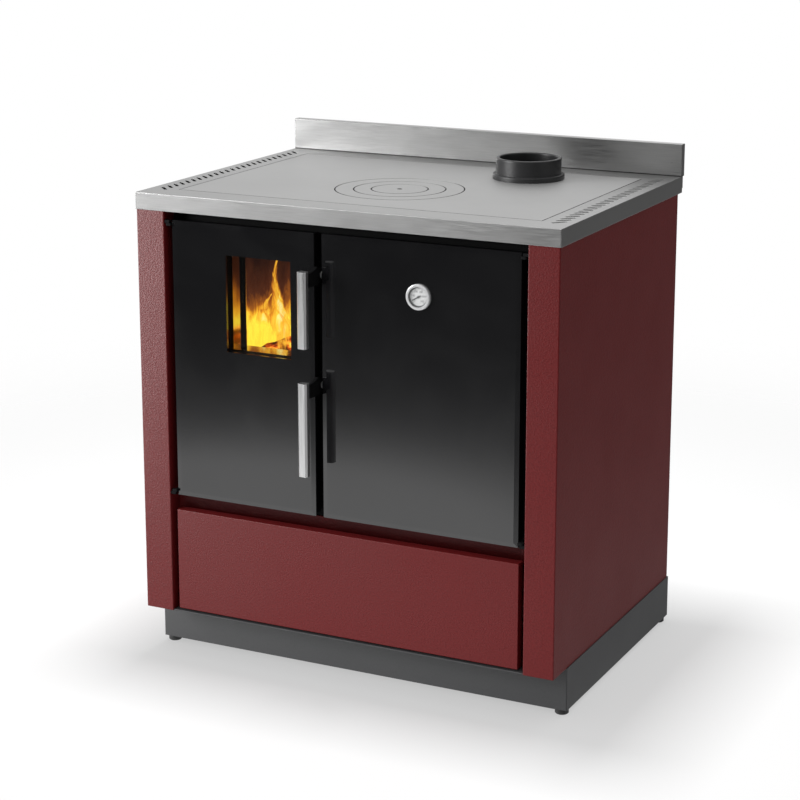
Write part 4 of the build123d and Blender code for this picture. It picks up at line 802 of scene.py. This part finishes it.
def seam(tree, cover, place, edge, fade, line):
    """Adds a black line along an edge to a mask."""
    off_edge = sum_of(tree, sum_of(tree, place, edge, "SUBTRACT"), 0.0, "ABSOLUTE")
    return sum_of(tree, cover, span(tree, off_edge, fade, line, 0.0, 0.8), "MAXIMUM")


tree = plate_steel.node_tree
plate_low, plate_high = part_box("cooking_plate")
spot = spot_on(tree)
place = axes(tree, spot)
gap_shade = span(tree, place["Z"], plate_high.z - 0.0002, plate_high.z - 0.0010)
ring_middle = sum(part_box("ring_outer"), Vector()) / 2
level_place = reckon(tree, "MULTIPLY", spot, (1.0, 1.0, 0.0))
from_axis = reckon(tree, "DISTANCE", level_place, (ring_middle.x, ring_middle.y, 0.0))
for ring in ("ring_outer", "ring_middle", "ring_lid"):
    ring_low, ring_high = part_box(ring)
    gap_shade = seam(tree, gap_shade, from_axis, (ring_high.x - ring_low.x) / 2, fade=0.0016, line=0.0007)
for axis, edge in (("X", plate_low.x), ("X", plate_high.x), ("Y", plate_low.y), ("Y", plate_high.y)):
    gap_shade = seam(tree, gap_shade, place[axis], edge, fade=0.0018, line=0.0008)
# Painted shade: the plate's sides and the strips along the ring seams and its outline go black.
blacken(plate_steel, gap_shade)
coat(plate_steel, "cooking_plate", "ring_outer", "ring_middle", "ring_lid")

# Flue collar: a flange and spigot cast in one piece of iron and blacked. It stands on
# the worktop, and the pipe slips over it.
blacked_casting = sooty(
    "blacked_casting", (0.016, 0.016, 0.017, 1), (0.028, 0.028, 0.029, 1), grain=500.0, rough=0.34,
    low=0.95, high=1.5, amount=0.1, relief=0.25, distance=0.0005,
)
coat(blacked_casting, "flue_collar")

# Door facings: sheets of glass ceramic painted black on the back, with a wide
# polished bevel. Only faint smears of handling show.
black_glass, tree, shader = finish("black_glass", IOR=1.55, Specular_IOR_Level=0.95)
spot = spot_on(tree)
smear = mottle(tree, spot, 7.0, 6.0, Distortion=1.2)
tree.links.new(span(tree, smear, 0.35, 0.8, 0.05, 0.10), shader["Roughness"])
backing = tint(tree, span(tree, smear, 0.3, 0.8), (0.004, 0.004, 0.0045, 1), (0.007, 0.007, 0.0075, 1))
tree.links.new(backing, shader["Base Color"])
coat(black_glass, "fire_door_glass", "oven_door_glass")

# Window pane: clear glass ceramic, cut from flat sheet and clamped behind the door's
# frame.
clear_glass = finish(
    "window_pane", Base_Color=(0.97, 0.96, 0.94, 1), Roughness=0.0, IOR=1.5, Transmission_Weight=1.0,
)[0]
coat(clear_glass, "fire_window_pane")

# Pane frame: a folded steel ring with a deep polished liner, which clamps the pane and
# mirrors the fire. Its front-facing faces are blackened as painted shade, and two screws
# hold it on each side.
liner_steel = brushed(
    "polished_liner", (0.82, 0.78, 0.72, 1), (0.70, 0.65, 0.58, 1), along=(60.0, 60.0, 12.0), rough=0.10,
    relief=0.01,
)
coat(liner_steel, "pane_frame")
tree = liner_steel.node_tree
facing = axes(tree, wire(tree, "TexCoord").outputs["Normal"])["Y"]
# Painted shade: the faces that look to the front go black.
blacken(liner_steel, span(tree, facing, -0.6, -0.9))
clamp_low, clamp_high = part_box("pane_frame")
heads = bmesh.new()
recess_shade_marks = bmesh.new()
screw_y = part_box("fire_door_gasket")[0].y + 0.0025
from_side, from_end, head_depth = 0.004, 0.045, 0.0012
backwards = Matrix.Rotation(math.radians(-90), 4, "X")
for x in (clamp_low.x + from_side, clamp_high.x - from_side):
    for z in (clamp_low.z + from_end, clamp_high.z - from_end):
        turn = Matrix.Translation((x, screw_y + head_depth / 2, z)) @ backwards
        bmesh.ops.create_cone(
            heads, cap_ends=True, segments=20, radius1=0.0034, radius2=0.0026, depth=head_depth, matrix=turn,
        )
        # Painted shade: a dark cross on each clamp screw head for the shade in its recess.
        add_recess_shade(recess_shade_marks, (x, screw_y + head_depth + hair, z), size=0.0017)
new_piece("clamp_screws", heads, plated, "fire_door")
new_piece("clamp_screw_recesses", recess_shade_marks, recess_shade_paint, "fire_door", smooth=False)

# Sealing ropes: braided glass cord, black and slightly furry, glued round the back
# of each door's frame and pressed flat where it meets the front frame.
rope, tree, shader = finish("braided_rope", Roughness=0.95)
spot = spot_on(tree)
hairs = mottle(tree, spot, 900.0, 3.0)
worn_spots = mottle(tree, spot, 16.0, 4.0)
rope_tone = tint(tree, hairs, grey(0.012), (0.06, 0.058, 0.055, 1))
rope_tone = tint(tree, span(tree, worn_spots, 0.55, 0.75, 0.0, 0.5), rope_tone, (0.16, 0.15, 0.14, 1))
tree.links.new(rope_tone, shader["Base Color"])
emboss(tree, shader, hairs, strength=0.6, distance=0.0006)


def sealing_rope(name, node, body, cord_width, corner):
    """A flattened rope laid as a rounded rectangle, with the ridges of its braid."""
    low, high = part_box(node)
    half_x = (high.x - low.x - cord_width) / 2 - corner
    half_z = (high.z - low.z - cord_width) / 2 - corner
    middle = (low + high) / 2
    stride, around, pitch, ridge_depth, pressed = 0.0022, 14, 0.55, 0.10, 0.75
    path = []
    for turn, (sx, sz) in enumerate(((1, 1), (-1, 1), (-1, -1), (1, -1))):
        for k in range(9):
            angle = math.radians(90 * turn + 90 * k / 8)
            way = Vector((math.cos(angle), 0, math.sin(angle)))
            path.append((Vector((sx * half_x, 0, sz * half_z)) + way * corner, way))
        ahead = ((-1, 1), (-1, -1), (1, -1), (1, 1))[turn]
        start, way = path[-1]
        stop = Vector((ahead[0] * half_x, 0, ahead[1] * half_z)) + way * corner
        pieces = int((stop - start).length / stride)
        path += [(start.lerp(stop, k / pieces), way) for k in range(1, pieces)]
    shape = bmesh.new()
    rings = []
    for step, (point, way) in enumerate(path):
        ring = []
        for k in range(around):
            angle = 2 * math.pi * k / around
            braid = abs(math.sin(step * pitch + angle * 2)) * abs(math.cos(step * pitch - angle * 2))
            ridge = 1 - ridge_depth * braid
            flat = max(-pressed, min(pressed, math.sin(angle))) / pressed
            offset = way * math.cos(angle) * cord_width / 2 * ridge
            offset += Vector((0, flat * (high.y - low.y) / 2 * ridge, 0))
            ring.append(shape.verts.new(middle + point + offset))
        rings.append(ring)
    for first, second in zip(rings, rings[1:] + rings[:1]):
        for k in range(around):
            shape.faces.new((first[k], second[k], second[(k + 1) % around], first[(k + 1) % around]))
    bmesh.ops.recalc_face_normals(shape, faces=shape.faces)
    made = new_piece(name, shape, rope, body)
    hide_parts(node)


for door in ("fire_door", "oven_door"):
    sealing_rope(f"{door}_seal", f"{door}_gasket", door, cord_width=0.010, corner=0.008)

# Lever handles: solid steel bars with chamfered edges, polished along their length,
# on black arms that turn on bright pivots in the gap between the doors.
bar_steel = brushed(
    "polished_bar", grey(0.92), grey(0.82), along=(600.0, 600.0, 12.0), rough=0.32, relief=0.12,
)
coat(bar_steel, "upper_handle_bar", "lower_handle_bar")
pivot_steel = brushed(
    "turned_pivot", grey(0.88), grey(0.76), along=(60.0, 900.0, 900.0), rough=0.4, relief=0.1,
)
coat(pivot_steel, "handle_pivots")

# Door magnets: two sintered ferrite blocks on the front frame that hold the right
# door shut.
ferrite = painted(
    "ferrite", (0.03, 0.03, 0.032, 1), grey(0.05), grain=1200.0, rough=0.55, bare=grey(0.1), wear=0.5,
    relief=0.3,
)
coat(ferrite, "door_magnets")

# Thermometer: a chromed brass bezel and case, with painted shade on their inward-facing
# walls, a clear lens, and a white dial, printed with numbers, with a black ring round
# its edge, under a black needle.
chrome = brushed(
    "chromed_bezel", (0.86, 0.86, 0.87, 1), (0.80, 0.80, 0.81, 1), along=(900.0, 40.0, 900.0), rough=0.25,
    relief=0.03, Metallic=0.4,
)
coat(chrome, "gauge_bezel", "gauge_case")
tree = chrome.node_tree
gauge_middle = sum(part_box("gauge_bezel"), Vector()) / 2
feel = wire(tree, "TexCoord").outputs
spoke = reckon(tree, "SUBTRACT", feel["Object"], gauge_middle)
spoke = reckon(tree, "NORMALIZE", reckon(tree, "MULTIPLY", spoke, (1.0, 0.0, 1.0)))
outward = reckon(tree, "DOT_PRODUCT", spoke, feel["Normal"])
# Painted shade: the bezel's and case's walls that face the dial's axis go black.
blacken(chrome, span(tree, outward, -0.35, -0.7))
lens = finish("gauge_lens", Base_Color=(0.95, 0.97, 0.97, 1), Roughness=0.02, Alpha=0.06, IOR=1.5)[0]
coat(lens, "gauge_lens")
dial_white = painted(
    "dial_white", grey(0.76), grey(0.70), grain=900.0, rough=0.45, bare=grey(0.7), wear=0.2, relief=0.05,
)
coat(dial_white, "gauge_dial")
needle_black = painted(
    "needle_black", grey(0.015), grey(0.03), grain=900.0, rough=0.4, bare=grey(0.06), wear=0.3, relief=0.05,
)
coat(needle_black, "gauge_needle")
dial_ink = painted(
    "dial_ink", (0.02, 0.02, 0.022, 1), (0.04, 0.04, 0.042, 1), grain=900.0, rough=0.6, bare=grey(0.1),
    wear=0.1, relief=0.05,
)
dial_low, dial_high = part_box("gauge_dial")
dial_middle = (dial_low + dial_high) / 2
border, tick_end, number_ring, number_size = 0.0150, 0.0155, 0.0098, 0.0048
long_tick, half_tick, short_tick = 0.0128, 0.0138, 0.0146
tree = dial_white.node_tree
spoke = reckon(tree, "SUBTRACT", spot_on(tree), dial_middle)
spoke = reckon(tree, "LENGTH", reckon(tree, "MULTIPLY", spoke, (1.0, 0.0, 1.0)))
blacken(dial_white, span(tree, spoke, border, border + 0.0004))
print_y = dial_low.y - 0.00004
print_sheet = bmesh.new()
first_angle, sweep, divisions = 225.0, 270.0, 50


def dial_place(angle, radius):
    """The spot on the dial at an angle from its top."""
    turn = math.radians(angle)
    return dial_middle.x + radius * math.sin(turn), dial_middle.z + radius * math.cos(turn)


for mark in range(divisions + 1):
    angle = first_angle + sweep * mark / divisions
    inner = long_tick if mark % 10 == 0 else half_tick if mark % 5 == 0 else short_tick
    wide = 1.5 if mark % 10 == 0 else 0.8
    corners = [
        dial_place(angle - wide * tick_end / inner, inner), dial_place(angle - wide, tick_end),
        dial_place(angle + wide, tick_end), dial_place(angle + wide * tick_end / inner, inner),
    ]
    print_sheet.faces.new([print_sheet.verts.new((x, print_y, z)) for x, z in corners])
for number in range(6):
    letters = bpy.data.curves.new("dial_number", "FONT")
    letters.body = str(number * 100)
    letters.size = number_size
    letters.align_x = letters.align_y = "CENTER"
    holder = bpy.data.objects.new("dial_number", letters)
    scene.collection.objects.link(holder)
    bpy.context.view_layer.update()
    outline = bpy.data.meshes.new_from_object(holder.evaluated_get(bpy.context.evaluated_depsgraph_get()))
    x, z = dial_place(first_angle + sweep * number / 5, number_ring)
    outline.transform(Matrix.Translation((x, print_y, z)) @ Matrix.Rotation(math.radians(90), 4, "X"))
    print_sheet.from_mesh(outline)
    bpy.data.objects.remove(holder)
    bpy.data.meshes.remove(outline)
bmesh.ops.recalc_face_normals(print_sheet, faces=print_sheet.faces)
new_piece("dial_print", print_sheet, dial_ink, "oven_door", smooth=False)

# Floor: a plain pale sheet that fades out round the stove, so that nothing but soft
# light and shade shows behind it.
floor_shape = bmesh.new()
bmesh.ops.create_circle(floor_shape, cap_ends=True, segments=96, radius=6.0)
floor_mesh = bpy.data.meshes.new("floor")
floor_shape.to_mesh(floor_mesh)
floor_shape.free()
floor = bpy.data.objects.new("floor", floor_mesh)
scene.collection.objects.link(floor)
floor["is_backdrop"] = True
pale = bpy.data.materials.new("pale_floor")
pale.use_nodes = True
tree = pale.node_tree
tree.nodes.clear()
spot = spot_on(tree)
path = wire(tree, "LightPath").outputs
away = reckon(tree, "LENGTH", spot)
wide_sheet = span(tree, away, 2.6, 1.3)
mirror_centre, pool_radius, pool_fade = (-0.60, -0.60, 0.0), 0.75, 0.32
away = reckon(tree, "DISTANCE", spot, mirror_centre)
past = sum_of(tree, sum_of(tree, away, pool_radius, "SUBTRACT"), 0.0, "MAXIMUM")
past = sum_of(tree, past, pool_fade, "DIVIDE")
pool = sum_of(tree, 1.0, sum_of(tree, product(tree, past, past), 1.0), "DIVIDE")
keep = wire(tree, "Mix", {0: path["Is Glossy Ray"], 2: wide_sheet, 3: pool}).outputs[0]
board = wire(tree, "BsdfDiffuse", {"Color": grey(0.30)}).outputs[0]


def seen_straight(tree, path):
    """Whether the camera sees a point, by itself or in a mirror or through glass."""
    seen = sum_of(tree, path["Is Camera Ray"], path["Is Glossy Ray"], "MAXIMUM")
    return sum_of(tree, seen, path["Is Transmission Ray"], "MAXIMUM")


seen = seen_straight(tree, path)
lift = wire(tree, "Emission", {"Strength": span(tree, seen, 0.0, 1.0, 0.4, 0.50)}).outputs[0]
board = wire(tree, "AddShader", {0: board, 1: lift}).outputs[0]
clear = wire(tree, "BsdfTransparent").outputs[0]
mixed = wire(tree, "MixShader", {0: keep, 1: clear, 2: board}).outputs[0]
wire(tree, "OutputMaterial", {"Surface": mixed})
floor_mesh.materials.append(pale)

# Studio: white all round for the camera and through glass, and in reflections too but
# for a dark room behind the camera and a dim corner at the right back.
scene.view_settings.view_transform = "Standard"
studio = bpy.data.worlds.new("studio")
studio.use_nodes = True
scene.world = studio
tree = studio.node_tree
tree.nodes.clear()
sight = wire(tree, "TexCoord").outputs["Generated"]
way = axes(tree, sight)
corner = reckon(tree, "DOT_PRODUCT", sight, (0.6, 0.8, 0.0))
dim_corner = span(tree, corner, 0.62, 0.95, 1.0, 0.08)
dim_right = span(tree, way["X"], 0.1, 0.9, 1.0, 0.4)
dim_left = span(tree, way["X"], -0.2, -0.75, 1.0, 0.62)
behind = product(tree, span(tree, way["Y"], -0.40, -0.56), span(tree, way["Z"], 0.62, 0.25))
dark_room = span(tree, behind, 0.0, 1.0, 1.0, 0.03)
path = wire(tree, "LightPath").outputs
seen = seen_straight(tree, path)
dim = product(tree, product(tree, dim_left, dim_right), dim_corner)
dim = sum_of(tree, dim, span(tree, seen, 0.0, 1.0, 0.4, 0.0), "MAXIMUM")
room = product(tree, dim, dark_room)
level = span(tree, seen, 0.0, 1.0, 0.9, 1.0)
bounced = sum_of(tree, path["Glossy Depth"], path["Diffuse Depth"])
straight = sum_of(tree, bounced, 0.5, "LESS_THAN")
shade = sum_of(tree, room, straight, "MAXIMUM")
walls = wire(tree, "Background", {"Color": shade, "Strength": level}).outputs[0]
wire(tree, "OutputWorld", {"Surface": walls})


# Lamps: soft boxes round the stove. One above makes the shadow on the floor, the key
# stands at the left front, and two small ones brighten the upstand and the red panels.
def soft_box(name, place, aim, wide, tall, power):
    """A rectangular lamp that faces the spot it is aimed at."""
    lamp = bpy.data.lights.new(name, "AREA")
    lamp.shape = "RECTANGLE"
    lamp.size = wide
    lamp.size_y = tall
    lamp.energy = power
    holder = bpy.data.objects.new(name, lamp)
    holder.location = place
    holder.rotation_euler = (Vector(aim) - Vector(place)).to_track_quat("-Z", "Y").to_euler()
    scene.collection.objects.link(holder)
    return holder


def light_only(lamp, state, *pieces):
    """Keeps a lamp to some pieces, or keeps it off them."""
    group = bpy.data.collections.new(lamp.name + "_pieces")
    for piece in pieces:
        group.objects.link(piece)
    for entry in group.collection_objects:
        entry.light_linking.link_state = state
    lamp.light_linking.receiver_collection = group


top = soft_box("top", (-0.15, 0.10, 3.2), (-0.15, 0.10, 0), wide=0.6, tall=0.6, power=130)
light_only(top, "INCLUDE", floor)
key = soft_box("key", (-4.4, -3.6, 2.0), (0, -0.1, 0.45), wide=2.8, tall=2.8, power=320)
light_only(key, "EXCLUDE", floor, stove["divider_shelf"], stove["backsplash"])
wash = soft_box("wash", (-1.2, -0.5, 1.0), (-0.3, 0.3, 0.88), wide=0.4, tall=0.4, power=11)
light_only(wash, "INCLUDE", stove["backsplash"])
sheen = soft_box("sheen", (-1.6, -1.3, 0.45), (-0.37, -0.27, 0.50), wide=0.5, tall=0.9, power=38)
sheen.visible_diffuse = False
shiny = ("side_panel_left", "side_panel_right", "drawer_front", "plinth")
light_only(sheen, "INCLUDE", *(stove[name] for name in shiny))

# Camera: the photograph's own viewpoint, above the worktop and to the right. It looks
# down on the stove through a long lens.
lens_data = bpy.data.cameras.new("camera")
lens_data.lens = 96.58
lens_data.sensor_width = 36.0
lens_data.shift_y = -0.10
camera = bpy.data.objects.new("camera", lens_data)
camera.location = (1.6485, -3.3778, 1.4757)
yaw, pitch = math.radians(-26.274), math.radians(13.037)
sight = Vector((math.sin(yaw) * math.cos(pitch), math.cos(yaw) * math.cos(pitch), -math.sin(pitch)))
camera.rotation_euler = sight.to_track_quat("-Z", "Y").to_euler()
scene.collection.objects.link(camera)
scene.camera = camera

low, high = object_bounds()
